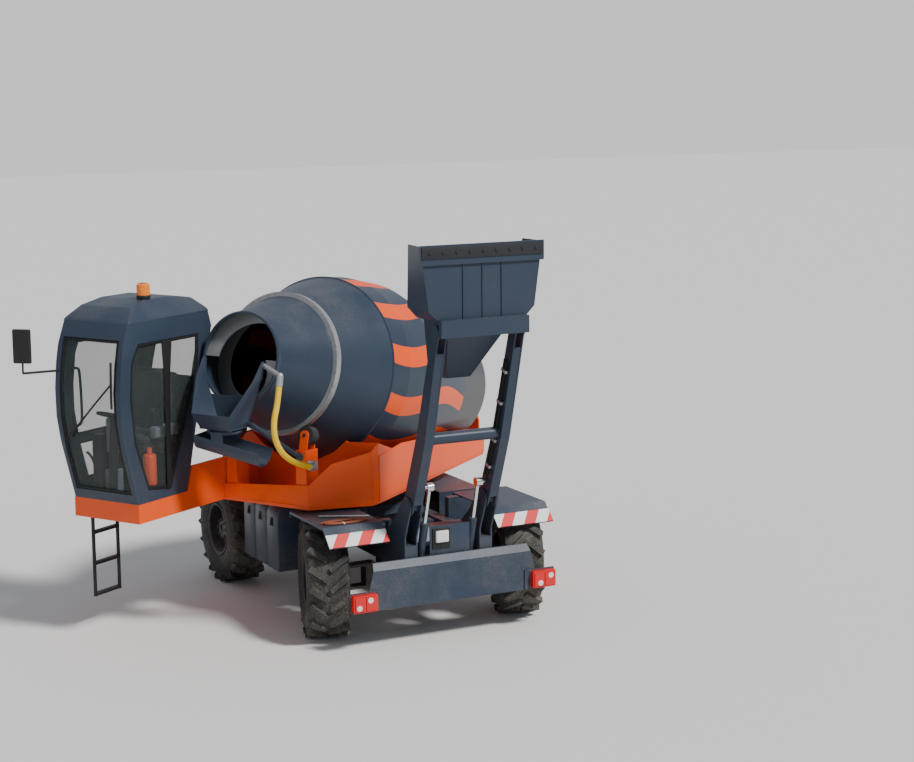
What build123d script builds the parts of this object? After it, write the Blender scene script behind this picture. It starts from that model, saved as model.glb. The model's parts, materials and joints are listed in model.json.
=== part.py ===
"""Self-loading concrete mixer with a slewing drum and cab.

Millimetres, +Z up. Sizes are first given about the slew axis: x forward on the road
(away from the bucket), y left, z from the ground. The upper's pieces are drawn in the
upper's own frame (u forward, v left) and turned by slew_at_rest. Everything is moved by
origin_x and origin_y at the end, which puts the origin under the middle of the whole.
"""
from build123d import *
from math import atan2, cos, degrees, hypot, pi, radians, sin, tan
import os

os.makedirs("parts", exist_ok=True)

# sizes
origin_x, origin_y = 608.0, -923.0     # the slew axis, from the middle of the whole
slew_at_rest = 121.4                   # the upper's heading, counter-clockwise from +X
hinge_gap = 5.0                        # between moving pieces side by side
seat_gap = 0.3                         # between fixed curved pieces
pin_play = 0.05                        # radial, a pin in its bore

# wheels and axles
tyre_r, tyre_w = 545.0, 400.0
carcass_r = 512.0
lug_count, lug_len, lug_w = 18, 225.0, 56.0
lug_angle = 38.0
rim_r, rim_w, rim_wall = 254.0, 330.0, 14.0
hub_r, hub_in, hub_out = 118.0, 60.0, 120.0
track = 1980.0
kingpin_y, kingpin_r = 790.0, 24.0
spindle_r = 44.0
axle_x = {"front": 900.0, "rear": -1510.0}
rear_steer_at_rest = -17.0             # both rear wheels, about +Z
axle_tube_r, axle_fork_z, axle_fork_t = 78.0, 92.0, 26.0

# chassis
beam_y, beam_w, beam_z0, beam_z1 = 380.0, 120.0, 680.0, 920.0
beam_x0, beam_x1 = -2105.0, 1560.0
front_t = 20.0
jaw_zs, jaw_t, jaw_r, jaw_x = (730.0, 805.0), 22.0, 17.0, beam_x1 + front_t + 60.0
deck_top, deck_half = 985.0, 560.0
race_r, race_in, race_top, race_gap = 560.0, 440.0, 1060.0, 0.5
arm_y, arm_w = 385.0, 92.0
pivot_x, pivot_z, pivot_r = -2150.0, 1310.0, 30.0
tower_r, tower_t = 84.0, 14.0
bumper_x, bumper_t = -2200.0, 12.0
bumper_top, bumper_low, bumper_top_half, bumper_low_half = 815.0, 385.0, 790.0, 905.0
fender_over, fender_t = 35.0, 10.0
fender_top = 2 * tyre_r + fender_over
fender_y0, fender_y1 = 561.0, 1156.0
fender_x0, fender_x1 = axle_x["rear"] - 350.0, axle_x["rear"] + 430.0
skirt_drop = 160.0
box_x0, box_x1, box_y0, box_y1 = -750.0, 150.0, 470.0, 1110.0
box_z0, box_z1, box_round = 460.0, 970.0, 110.0
hood_y0, hood_y1, hood_z0, hood_z1, hood_t = 580.0, 1125.0, 520.0, 1060.0, 8.0

# loader
elbow_x, elbow_z = -2420.0, 1960.0
tip_x, tip_z, tip_r, tip_pin_r = -2730.0, 2950.0, 74.0, 25.0
arm_plate, arm_root_w, arm_mid_w, arm_tip_w = 12.0, 190.0, 170.0, 120.0
cross_tube_r = 55.0
bucket_t = 12.0
lift_eye_along, lift_y = 180.0, 250.0
lift_anchor_x, lift_anchor_z = -1960.0, 600.0
cyl_r, cyl_wall, cyl_rod_r, cyl_eye_r, cyl_pin_r = 38.0, 8.0, 20.0, 42.0, 20.0
barrel_len, rod_len = 540.0, 445.0
tilt_pin_r = 16.0

# upper
mouth_u, mouth_z, drum_tilt = 1819.0, 2595.0, 12.5
mouth_r, ring_at_r, weld_r, barrel_r, tail_r = 427.0, 656.0, 900.0, 935.0, 610.0
weld_s, barrel_s0, barrel_s1, tail_s = 1215.0, 1450.0, 1900.0, 3470.0    # stations behind the mouth
tail_end = tail_s + 60.0
post_u, post_v, post_len = mouth_u - 339.0, 411.0, 190.0                  # the roller posts
tail_u = mouth_u - 3569.0                                                # the pedestal under the drive
hinge_u = 1842.0                                                         # the cab door's pins
table_z, table_t = 1150.0, 30.0
wall_t = 12.0
drum_wall = 10.0
ring_s, ring_w, ring_r = 604.0, 70.0, 672.0
roller_r, roller_w, roller_at = 90.0, 96.0, 33.0
cab_left, cab_right = -486.0, -1260.0
cab_wall = 40.0
band_z1 = 1330.0
glass_in, glass_t = 14.0, 6.0

# helpers


def block(x, y, z):
    """A box from three (low, high) pairs."""
    size = [b - a for a, b in (x, y, z)]
    mid = [(a + b) / 2 for a, b in (x, y, z)]
    return Pos(*mid) * Box(*size)


def mirror_y(shape):
    return mirror(shape, Plane.XZ)


def plate_xz(points, y0, y1, radius=0.0):
    """A polygon in x, z, made thick from y0 to y1, with its corners rounded."""
    face = Plane.XZ * make_face(Polyline(*points, close=True))
    if radius:
        face = fillet(face.vertices(), radius)
    return Pos(0, y1, 0) * extrude(face, amount=y1 - y0, dir=(0, -1, 0))


def plate_yz(points, x0, x1, radius=0.0):
    face = Plane.YZ * make_face(Polyline(*points, close=True))
    if radius:
        face = fillet(face.vertices(), radius)
    return Pos(x0, 0, 0) * extrude(face, amount=x1 - x0, dir=(1, 0, 0))


def plate_xy(points, z0, z1, radius=0.0):
    face = make_face(Polyline(*points, close=True))
    if radius:
        face = fillet(face.vertices(), radius)
    return Pos(0, 0, z0) * extrude(face, amount=z1 - z0, dir=(0, 0, 1))


def rod(p, q, r):
    """A round bar between two points."""
    p, q = Vector(*p), Vector(*q)
    return Plane(origin=p, z_dir=(q - p).normalized()) * Cylinder(
        r, (q - p).length, align=(Align.CENTER, Align.CENTER, Align.MIN))


def rod_y(x, z, r, y0, y1):
    return rod((x, y0, z), (x, y1, z), r)


def turned(points, about):
    """A solid of revolution from (radius, station) points, stations along the plane's normal."""
    face = Plane.XZ * make_face(Polyline(*points, close=True))
    return about * revolve(face, Axis.Z)


def joined(shapes):
    shapes = list(shapes)
    return shapes[0].fuse(*shapes[1:]) if len(shapes) > 1 else shapes[0]


pieces = {}


def keep(name, shape, upper=False):
    """Turn the upper's pieces to the stored slew, move all to the common origin and keep them."""
    if upper:
        shape = Rot(0, 0, slew_at_rest) * shape
    pieces[name] = Pos(origin_x, origin_y, 0) * shape


# wheels
# one wheel about its own centre, axis along Y, outer face to +Y
across_y = Plane(origin=(0, 0, 0), x_dir=(1, 0, 0), z_dir=(0, 1, 0))

half_w = tyre_w / 2
carcass = turned(
    [(rim_r + seat_gap, -rim_w / 2 + 12), (300, -half_w + 22), (375, -half_w), (440, -half_w + 2),
     (carcass_r - 22, -half_w + 26), (carcass_r, -half_w + 78),
     (carcass_r, half_w - 78), (carcass_r - 22, half_w - 26), (440, half_w - 2),
     (375, half_w), (300, half_w - 22), (rim_r + seat_gap, rim_w / 2 - 12)], across_y)

# one lug stands on the tread, leans over the shoulder and points to the middle
lug_foot, lug_head = carcass_r - 40, tyre_r
lug_outline = [(-lug_w / 2, 8), (lug_w / 2, 8), (lug_w / 2 + 6, lug_len), (-lug_w / 2 - 6, lug_len)]
lug = extrude(make_face(Polyline(*lug_outline, close=True)), amount=lug_head - lug_foot, taper=4)
lug = Pos(0, 0, lug_foot) * Rot(0, 0, -lug_angle) * lug
lug = lug & block((-250, 250), (0, half_w + 4), (0, tyre_r)) & rod_y(0, 0, tyre_r, -half_w, half_w + 4)
pitch = 360.0 / lug_count
lugs = []
for n in range(lug_count):
    lugs.append(Rot(0, n * pitch, 0) * lug)
    lugs.append(Rot(0, (n + 0.5) * pitch, 0) * mirror_y(lug))
tyre = carcass.fuse(*lugs)

rim_half = rim_w / 2
rim = turned(
    [(rim_r - rim_wall, -rim_half), (rim_r, -rim_half - 10), (rim_r + 16, -rim_half - 10), (rim_r + 16, -rim_half + 1),
     (rim_r, -rim_half + 1), (rim_r, rim_half - 1), (rim_r + 16, rim_half - 1), (rim_r + 16, rim_half + 10),
     (rim_r, rim_half + 10), (rim_r - rim_wall, rim_half),
     (rim_r - rim_wall, 46), (150, 74), (hub_r, 74), (hub_r, hub_out - 18), (hub_r - 18, hub_out),
     (spindle_r + pin_play, hub_out), (spindle_r + pin_play, -hub_in), (hub_r - 10, -hub_in), (hub_r, -hub_in + 10),
     (hub_r, 58), (146, 58), (rim_r - rim_wall, 30)], across_y)
stud_circle, stud_r, stud_count, hand_hole_r = 92.0, 11.0, 8, 20.0
studs = [Rot(0, n * 360 / stud_count, 0) * rod_y(stud_circle, 0, stud_r, hub_out - 1, hub_out + 16)
         for n in range(stud_count)]
hand_holes = [Rot(0, (n + 0.5) * 360 / stud_count, 0) * rod_y(196, 0, hand_hole_r, 20, 90)
              for n in range(stud_count)]
rim = joined([rim] + studs) - joined(hand_holes)

# knuckle about the wheel's centre, outer side to +Y; its kingpin stands inboard
post_y = kingpin_y - track / 2
knuckle = joined([
    Pos(0, post_y, 0) * Cylinder(52, 2 * axle_fork_z - 2 * hinge_gap),
    Pos(0, post_y, 0) * Cylinder(kingpin_r, 2 * (axle_fork_z + axle_fork_t)),
    rod_y(0, 0, spindle_r, post_y, hub_out - 10),
    rod_y(0, 0, 92, -hub_in - 62, -hub_in - hinge_gap),
])

wheels = [
    # name, axle, side, steer at rest
    ("front_left", "front", 1, 0.0),
    ("front_right", "front", -1, 0.0),
    ("rear_left", "rear", 1, rear_steer_at_rest),
    ("rear_right", "rear", -1, rear_steer_at_rest),
]
for name, axle, side, steer in wheels:
    x = axle_x[axle]
    flip = Rot(0, 0, 0 if side > 0 else 180)
    kingpin = Pos(x, side * kingpin_y, 0)
    turn = kingpin * Rot(0, 0, steer) * kingpin.inverse()
    at = turn * Pos(x, side * track / 2, tyre_r) * flip
    keep("tyre_" + name, at * tyre)
    keep("rim_" + name, at * rim)
    keep("knuckle_" + name, at * knuckle)

# axles
for axle, x in axle_x.items():
    fork = []
    for side in (1, -1):
        for up in (1, -1):
            z0 = tyre_r + up * (axle_fork_z + axle_fork_t / 2) - axle_fork_t / 2
            arm = block((x - 62, x + 62), sorted((side * 540, side * (kingpin_y))), (z0, z0 + axle_fork_t))
            arm += Pos(x, side * kingpin_y, z0 + axle_fork_t / 2) * Cylinder(62, axle_fork_t)
            arm -= Pos(x, side * kingpin_y, tyre_r) * Cylinder(kingpin_r + pin_play, 400)
            fork.append(arm)
        fork.append(block((x - 62, x + 62), sorted((side * 500, side * 600)),
                          (tyre_r - axle_fork_z - axle_fork_t, tyre_r + axle_fork_z + axle_fork_t)))
        fork.append(block((x - 90, x + 90), sorted((side * 330, side * 430)), (tyre_r, beam_z0)))
    housing = turned([(0, -190), (110, -190), (175, -90), (175, 90), (110, 190), (0, 190)],
                     Plane(origin=(x, 0, tyre_r), x_dir=(1, 0, 0), z_dir=(0, 1, 0)))
    tube = rod_y(x, tyre_r, axle_tube_r, -520, 520)
    snout = rod((x, 0, tyre_r), (x + (260 if axle == "rear" else -260), 0, tyre_r), 70)
    keep(axle + "_axle", joined([housing, tube, snout] + fork))

# chassis frame
frame = []
towers = []
for side in (1, -1):
    y0, y1 = sorted((side * (beam_y - beam_w / 2), side * (beam_y + beam_w / 2)))
    frame.append(block((beam_x0, beam_x1), (y0, y1), (beam_z0, beam_z1)))
    # the tower is a clevis of two plates around the arm's root
    tower = make_face(Polyline((beam_x0, beam_z0), (-1640, beam_z0), (-1640, beam_z1 + 20), (-1880, 1130),
                               (pivot_x + 60, pivot_z + 62), (pivot_x - 66, pivot_z + 50),
                               (pivot_x - 66, pivot_z - 60), (beam_x0, beam_z1 + 80), close=True))
    tower += Pos(pivot_x, pivot_z) * Circle(tower_r)
    for y in (arm_y - arm_w / 2 - hinge_gap - tower_t, arm_y + arm_w / 2 + hinge_gap):
        plate = Pos(0, y + tower_t, 0) * extrude(Plane.XZ * tower, amount=tower_t)
        towers.append(plate if side > 0 else mirror_y(plate))
    pin_in, pin_out = arm_y - arm_w / 2 - hinge_gap - tower_t, arm_y + arm_w / 2 + hinge_gap + tower_t
    towers.append(rod_y(pivot_x, pivot_z, pivot_r, *sorted((side * pin_in, side * pin_out))))
    # lift cylinder's anchor: bracket under the beam and its pin
    bracket_y = sorted((side * (beam_y - beam_w / 2), side * (beam_y - beam_w / 2 + 24)))
    frame.append(block((lift_anchor_x - 42, lift_anchor_x + 60), bracket_y, (lift_anchor_z - 42, beam_z0 + 20)))
    frame.append(rod_y(lift_anchor_x, lift_anchor_z, cyl_pin_r,
                       *sorted((side * (lift_y - 34), side * (beam_y - beam_w / 2 + 10)))))
    # bumper's brackets and the fender's posts
    frame.append(block((bumper_x + bumper_t, beam_x0 + 4), (y0 + 15, y1 - 15), (beam_z0 + 4, bumper_top - 75)))
    for x in (-1760, -1200):
        post = sorted((side * (beam_y + beam_w / 2 - 4), side * (beam_y + beam_w / 2 + 26)))
        frame.append(block((x - 40, x + 40), post, (beam_z1 - 120, fender_top - fender_t)))
        frame.append(block((x - 40, x + 40), sorted((side * (beam_y + beam_w / 2), side * 760)),
                           (fender_top - fender_t - 12, fender_top - fender_t)))
for x0, x1, z0, z1 in ((-1860, -1760, 700, 900), (-1180, -1060, 720, 900), (1150, 1270, 720, 900)):
    frame.append(block((x0, x1), (-beam_y, beam_y), (z0, z1)))
frame.append(block((beam_x1 - 4, beam_x1 + front_t), (-520, 520), (600, 930)))   # front cross plate
# towing jaw: two ears with a hole for the towing pin
for z in jaw_zs:
    ear = plate_xy([(beam_x1 + front_t - 2, -70), (beam_x1 + front_t + 60, -70), (beam_x1 + front_t + 100, -35),
                    (beam_x1 + front_t + 100, 35), (beam_x1 + front_t + 60, 70), (beam_x1 + front_t - 2, 70)], z, z + jaw_t)
    frame.append(ear - Pos(jaw_x, 0, z) * Cylinder(jaw_r, 100))
frame.append(plate_xy([(-deck_half - 120, -430), (deck_half + 120, -430), (deck_half + 160, 0),
                       (deck_half + 120, 430), (-deck_half - 120, 430), (-deck_half - 160, 0)], beam_z1 - 30, deck_top))
frame.append(Pos(0, 0, (deck_top + race_top) / 2) * Cylinder(race_r, race_top - deck_top))
# rear cross plates, stepped between the towers
frame.append(plate_xz([(-1940, 860), (-1700, 860), (-1700, 1010), (-1860, 1010), (-1940, 900)], -322, 322))
# shelves that carry the side boxes, hangers and a tray that carry the engine and its hood
tray_z = hood_z0 + 60
for x in (box_x0 + 110, box_x1 - 170):
    frame.append(block((x, x + 60), (beam_y + 50, box_y0), (700, 800)))
    frame.append(block((x, x + 60), (-hood_y0 - 10, -beam_y - 50), (tray_z - 20, 800)))
frame.append(block((box_x0 + hood_t, box_x1 + 20 - hood_t), (-hood_y1 + hood_t, -hood_y0), (tray_z - 20, tray_z)))
chassis = joined(frame)
chassis -= Pos(0, 0, (beam_z1 + race_top) / 2) * Cylinder(race_in - 60, 400)   # the ring is open inside
keep("chassis_frame", chassis)
keep("loader_towers", joined(towers) - chassis)    # welded to the beams

# rear bumper, lamps, boards
outer = [(bumper_x, bumper_low), (bumper_x, bumper_top - 62), (bumper_x + 50, bumper_top), (bumper_x + 72, bumper_top),
         (bumper_x + 72, bumper_top - bumper_t), (bumper_x + 55, bumper_top - bumper_t),
         (bumper_x + bumper_t, bumper_top - 66), (bumper_x + bumper_t, bumper_low)]
bumper = plate_xz(outer, -bumper_low_half, bumper_low_half)
end = [(bumper_top_half, bumper_top + 10), (bumper_low_half, bumper_low - 10),
       (bumper_low_half + 200, bumper_low - 10), (bumper_low_half + 200, bumper_top + 10)]
end_cut = plate_yz(end, bumper_x - 50, bumper_x + 200)
bumper = bumper - end_cut - mirror_y(end_cut)
lamp_y0, lamp_y1, lamp_z0, lamp_z1 = 800.0, 1040.0, 405.0, 565.0
lamp_bracket = block((bumper_x - 14, bumper_x), (lamp_y0 - 60, lamp_y1 + 12), (lamp_z0 - 14, lamp_z1 + 10))
bumper = joined([bumper, lamp_bracket, mirror_y(lamp_bracket)])
keep("rear_bumper", bumper)

lamp = block((bumper_x - 70, bumper_x - 14), (lamp_y0, lamp_y1), (lamp_z0, lamp_z1))
lamp = fillet(lamp.edges().filter_by(Axis.X), 14)
for y0, y1 in ((lamp_y0 + 14, lamp_y0 + 116), (lamp_y0 + 124, lamp_y1 - 14)):
    lamp += block((bumper_x - 80, bumper_x - 68), (y0, y1), (lamp_z0 + 16, lamp_z1 - 16))
tail_lamps = [lamp, mirror_y(lamp)]

skirt_x = fender_x0 - skirt_drop
board_out = 5.0
board = plate_xz([(fender_x0 - 62 - board_out, fender_top - 62 + board_out), (skirt_x - board_out, fender_top - skirt_drop + board_out),
                  (skirt_x, fender_top - skirt_drop), (fender_x0 - 62, fender_top - 62)], fender_y0, fender_y1)
keep("marker_boards", joined([board, mirror_y(board)]))

# rear fenders
t = fender_t
guard = plate_xz([(fender_x1, fender_top - 60), (fender_x1, fender_top), (fender_x0, fender_top),
                  (skirt_x, fender_top - skirt_drop), (skirt_x + t, fender_top - skirt_drop - t),
                  (fender_x0 + t * 0.4, fender_top - t), (fender_x1 - t, fender_top - t), (fender_x1 - t, fender_top - 60)],
                 fender_y0, fender_y1)
guard += block((fender_x0 - 100, fender_x1), (fender_y1 - 8, fender_y1), (fender_top - 24, fender_top - 2)) & plate_xz(
    [(fender_x1, fender_top - 60), (fender_x1, fender_top), (fender_x0, fender_top), (fender_x0 - 100, fender_top - 100)],
    fender_y1 - 8, fender_y1)
keep("rear_fenders", joined([guard, mirror_y(guard)]))

# left side boxes
section = Plane.YZ * make_face(Polyline((box_y0, box_z0), (box_y1, box_z0), (box_y1, box_z1), (box_y0, box_z1), close=True))
corner = [v for v in section.vertices() if abs(v.Y - box_y1) < 1 and abs(v.Z - box_z1) < 1]
section = fillet(corner, box_round)
boxes = Pos(box_x0, 0, 0) * extrude(section, amount=box_x1 - box_x0, dir=(1, 0, 0))
groove_w, groove_d, box_sections = 12.0, 12.0, 3
core = Pos(box_x0, 0, 0) * extrude(offset(section, amount=-groove_d), amount=box_x1 - box_x0, dir=(1, 0, 0))
step = (box_x1 - box_x0) / box_sections
for n in range(1, box_sections):
    x = box_x0 + n * step
    slot = block((x - groove_w / 2, x + groove_w / 2), (box_y0 - 5, box_y1 + 5), (box_z0 - 5, box_z1 + 5))
    boxes -= slot - core
keep("side_boxes", boxes)

# engine and its hood, right side
keep("engine", block((box_x0 + 90, box_x1 - 60), (-1010, -hood_y0 - 10), (tray_z, hood_z1 - 130)))
hood = block((box_x0, box_x1 + 20), (-hood_y1, -hood_y0), (hood_z0, hood_z1))
hood = fillet(hood.edges().filter_by(Axis.X).sort_by(Axis.Z)[-2:].sort_by(Axis.Y)[:1], 90)
hollow = block((box_x0 + hood_t, box_x1 + 20 - hood_t), (-hood_y1 + hood_t, 0), (hood_z0 - 10, hood_z1 - hood_t))
hood = hood - (hollow - block((box_x0, box_x1 + 20), (-hood_y1, -hood_y1 + 92), (hood_z1 - 92, hood_z1)))
for n in range(7):
    z = hood_z0 + 90 + n * 46
    hood -= block((box_x0 + 120, box_x1 - 380), (-hood_y1 - 5, -hood_y1 + hood_t + 5), (z, z + 22))
    hood -= block((box_x1 - 320, box_x1 - 60), (-hood_y1 - 5, -hood_y1 + hood_t + 5), (z, z + 22))
keep("engine_hood", hood)

# head lamps
head = block((beam_x1 + front_t, beam_x1 + front_t + 50), (380, 500), (760, 880))
head = fillet(head.edges().filter_by(Axis.X), 20)
keep("lamps", joined(tail_lamps + [head, mirror_y(head)]))

# loader arms
root_a = atan2(elbow_z - pivot_z, elbow_x - pivot_x)
top_a = atan2(tip_z - elbow_z, tip_x - elbow_x)


def off(x, z, angle, along, across):
    return (x + along * cos(angle) - across * sin(angle), z + along * sin(angle) + across * cos(angle))


side_face = make_face(Polyline(
    off(pivot_x, pivot_z, root_a, 0, arm_root_w / 2), off(elbow_x, elbow_z, (root_a + top_a) / 2, 0, arm_mid_w / 2),
    off(tip_x, tip_z, top_a, 0, arm_tip_w / 2), off(tip_x, tip_z, top_a, 0, -arm_tip_w / 2),
    off(elbow_x, elbow_z, (root_a + top_a) / 2, 0, -arm_mid_w / 2), off(pivot_x, pivot_z, root_a, 0, -arm_root_w / 2), close=True))
side_face += Pos(tip_x, tip_z) * Circle(tip_r)
side_face += Pos(pivot_x, pivot_z) * Circle(arm_root_w / 2)
web = make_face(Polyline(
    off(pivot_x, pivot_z, root_a, 60, arm_root_w / 2), off(elbow_x, elbow_z, (root_a + top_a) / 2, 0, arm_mid_w / 2),
    off(tip_x, tip_z, top_a, -170, arm_tip_w / 2), off(tip_x, tip_z, top_a, -170, arm_tip_w / 2 - arm_plate),
    off(elbow_x, elbow_z, (root_a + top_a) / 2, 0, arm_mid_w / 2 - arm_plate),
    off(pivot_x, pivot_z, root_a, 60, arm_root_w / 2 - arm_plate), close=True))
arms = []
boss_y = 313.0
lift_eye = off(pivot_x, pivot_z, root_a, lift_eye_along, 0)
tilt_base = off(elbow_x, elbow_z, top_a, 60, -14)
for side in (1, -1):
    arm = []
    for y in (arm_y - arm_w / 2, arm_y + arm_w / 2 - arm_plate):
        arm.append(Pos(0, y + arm_plate, 0) * extrude(Plane.XZ * side_face, amount=arm_plate))
    arm.append(Pos(0, arm_y + arm_w / 2 - 2, 0) * extrude(Plane.XZ * web, amount=arm_w - 4))
    arm.append(rod_y(pivot_x, pivot_z, 58, arm_y - arm_w / 2, arm_y + arm_w / 2))
    arm.append(rod_y(lift_eye[0], lift_eye[1], 30, boss_y, arm_y - arm_w / 2 + 2))
    arm.append(rod_y(tip_x, tip_z, tip_pin_r, arm_y - arm_w / 2, arm_y + arm_w / 2))
    arm.append(rod_y(tilt_base[0], tilt_base[1], tilt_pin_r, arm_y - arm_w / 2, arm_y + arm_w / 2))
    arm = joined(arm)
    arm -= rod_y(pivot_x, pivot_z, pivot_r + pin_play, 200, 600)
    arms.append(arm if side > 0 else mirror_y(arm))
arms.append(rod_y(elbow_x, elbow_z, cross_tube_r, -(arm_y - arm_w / 2), arm_y - arm_w / 2))
keep("loader_arms", joined(arms))

# bucket
heel_z, kink_z, rim_z = 3050.0, 3150.0, 3720.0
back_x = -2800.0


def level(z, x_rear, x_front, rear_half, front_half, grow=0.0):
    """One horizontal section of the bucket, drawn larger or smaller by grow."""
    g = grow
    return Pos(0, 0, z) * make_face(Polyline(
        (x_rear - g, -rear_half - g), (x_front + g, -front_half - g), (x_front + g, front_half + g),
        (x_rear - g, rear_half + g), close=True))


bowl_levels = [
    # z, rear x, front x, rear half width, front half width
    (heel_z, back_x, -2300.0, 420.0, 400.0),
    (kink_z, back_x, -2326.0, 520.0, 500.0),
    (rim_z, back_x, -2500.0, 600.0, 570.0),
]
chute_levels = [
    (2480.0, -2330.0, -2112.0, 118.0, 190.0),
    (heel_z + bucket_t, back_x + 16, -2300.0, 330.0, 330.0),
]
bowl = loft([level(*row) for row in bowl_levels], ruled=True)
spout = loft([level(*row) for row in chute_levels], ruled=True)
t = bucket_t


def inner(rows, up, down):
    """The same levels inside the walls, run out past the open ends and the open front."""
    cut = [level(z, xr + t, xf + 120, rh - t, fh - t) for z, xr, xf, rh, fh in rows]
    out = loft(cut, ruled=True)
    top, low = rows[-1], rows[0]
    if up:
        out += loft([level(top[0], top[1] + t, top[2] + 120, top[3] - t, top[4] - t),
                     level(top[0] + 40, top[1] + t, top[2] + 120, top[3] - t, top[4] - t)], ruled=True)
    if down:
        out += loft([level(low[0] - 40, low[1] + t, low[2] + 120, low[3] - t, low[4] - t),
                     level(low[0], low[1] + t, low[2] + 120, low[3] - t, low[4] - t)], ruled=True)
    return out


bowl_inner = inner(bowl_levels, True, False) & block((-4000, 0), (-900, 900), (heel_z + t, 4000))
spout_inner = inner(chute_levels, True, True)
bucket = (bowl - bowl_inner).fuse(spout - spout_inner) - spout_inner
lip_t, lip_h = 22.0, 165.0
bucket += block((back_x - lip_t, back_x), (-606, 606), (rim_z - lip_h, rim_z + 8))
# heel beam and the two cranks that run on the arms' tip pins
bucket += plate_xz([(back_x - 66, heel_z - 128), (back_x - 10, heel_z - 128), (back_x - 10, heel_z), (back_x + 6, heel_z),
                    (back_x + 6, heel_z + 26), (back_x - 66, heel_z + 26)], -arm_y - 48, arm_y + 48)
tilt_eye = (tip_x + 92.0, tip_z - 26.0)
crank_out, crank_t = 28.0, 10.0
for side in (1, -1):
    for y in (arm_y - crank_out, arm_y + crank_out - crank_t):
        crank = plate_xz([(back_x + 20, heel_z + 6), (tip_x + 150, heel_z + 6), (tilt_eye[0] + 30, tilt_eye[1] + 6),
                          (tilt_eye[0] + 24, tilt_eye[1] - 20), (tilt_eye[0], tilt_eye[1] - 28), (tip_x, tip_z - 42),
                          (tip_x - 30, tip_z - 26), (tip_x - 40, tip_z + 10)], *sorted((side * y, side * (y + crank_t))))
        crank -= rod_y(tip_x, tip_z, tip_pin_r + pin_play, *sorted((side * 300, side * 480)))
        bucket += crank

for y in (-190, 0, 190):                                   # ribs down the floor
    bucket += plate_xz([(back_x - 10, heel_z + 20), (back_x - 10, rim_z - lip_h), (back_x + 2, rim_z - lip_h),
                        (back_x + 2, heel_z + 20)], y - 4, y + 4)
keep("bucket", bucket)

# cylinders


def cylinder_parts(anchor, eye, y, r, rod_r, barrel_l, rod_l, eye_r, eye_half, pin_r):
    """Barrel from its anchor and rod from its eye, both in the plane y."""
    ax, az = anchor
    ex, ez = eye
    length = hypot(ex - ax, ez - az)
    d = Vector((ex - ax) / length, 0, (ez - az) / length)
    a, e = Vector(ax, y, az), Vector(ex, y, ez)
    barrel = joined([rod_y(ax, az, eye_r, y - eye_half, y + eye_half), rod(a + d * (eye_r - 12), a + d * barrel_l, r)])
    barrel -= rod(a + d * (eye_r + 8), a + d * (barrel_l - 30), r - cyl_wall)
    barrel -= rod(a + d * (barrel_l - 40), a + d * (barrel_l + 10), rod_r + pin_play)
    barrel -= rod_y(ax, az, pin_r + pin_play, y - 200, y + 200)
    arm = joined([rod_y(ex, ez, eye_r, y - eye_half, y + eye_half), rod(e - d * rod_l, e - d * (eye_r - 10), rod_r),
                  rod(e - d * rod_l, e - d * (rod_l - 26), r - cyl_wall - pin_play)])
    return barrel, arm


for side, word in ((1, "left"), (-1, "right")):
    barrel, arm = cylinder_parts((lift_anchor_x, lift_anchor_z), lift_eye, side * lift_y,
                                 cyl_r, cyl_rod_r, barrel_len, rod_len, cyl_eye_r, 30, cyl_pin_r)
    arm += rod_y(lift_eye[0], lift_eye[1], cyl_pin_r, *sorted((side * lift_y, side * (boss_y - seat_gap))))
    keep("lift_barrel_" + word, barrel)
    keep("lift_rod_" + word, arm)

tilt_half = 13.0
tilt_len = hypot(tilt_eye[0] - tilt_base[0], tilt_eye[1] - tilt_base[1])
barrel, arm = cylinder_parts(tilt_base, tilt_eye, arm_y, 25, 13, tilt_len - 250, tilt_len - 90, 28, tilt_half, tilt_pin_r)
arm += rod_y(*tilt_eye, tilt_pin_r, arm_y - crank_out + crank_t + seat_gap, arm_y + crank_out - crank_t - seat_gap)

keep("tilt_barrel", barrel)
keep("tilt_rod", arm)

# drum, in the upper's frame
tilt = radians(drum_tilt)
drum_axis = Plane(origin=(mouth_u, 0, mouth_z), x_dir=(0, 1, 0), z_dir=(-cos(tilt), 0, -sin(tilt)))


def on_drum(s, r=0.0, turn=0.0):
    """A point at station s behind the mouth, radius r, turned from the bottom toward +v (deg)."""
    a = radians(turn)
    down = (sin(tilt), 0, -cos(tilt))
    return (mouth_u - s * cos(tilt) + r * cos(a) * down[0], r * sin(a), mouth_z - s * sin(tilt) + r * cos(a) * down[2])


lip_bead, weld_bead = 12.0, 11.0
outside = [(mouth_r, -16), (mouth_r + lip_bead, -10), (mouth_r + lip_bead, 24), (mouth_r + 9, 30), (ring_at_r, ring_s),
           (weld_r - 5, weld_s - 12), (weld_r + weld_bead - 1, weld_s - 6), (weld_r + weld_bead, weld_s + 2),
           (weld_r + 5, weld_s + 11), (barrel_r, barrel_s0), (barrel_r, barrel_s1), (tail_r, tail_s), (250, tail_s),
           (250, tail_s + 24), (150, tail_s + 36), (150, tail_end), (0, tail_end)]
inside = [(mouth_r - drum_wall, -16), (mouth_r - drum_wall, 0), (ring_at_r - drum_wall, ring_s),
          (weld_r - drum_wall, weld_s), (barrel_r - drum_wall, barrel_s0), (barrel_r - drum_wall, barrel_s1),
          (tail_r - drum_wall, tail_s - drum_wall), (0, tail_s - drum_wall)]
keep("drum_shell", turned(outside + inside[::-1], drum_axis), upper=True)

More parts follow.
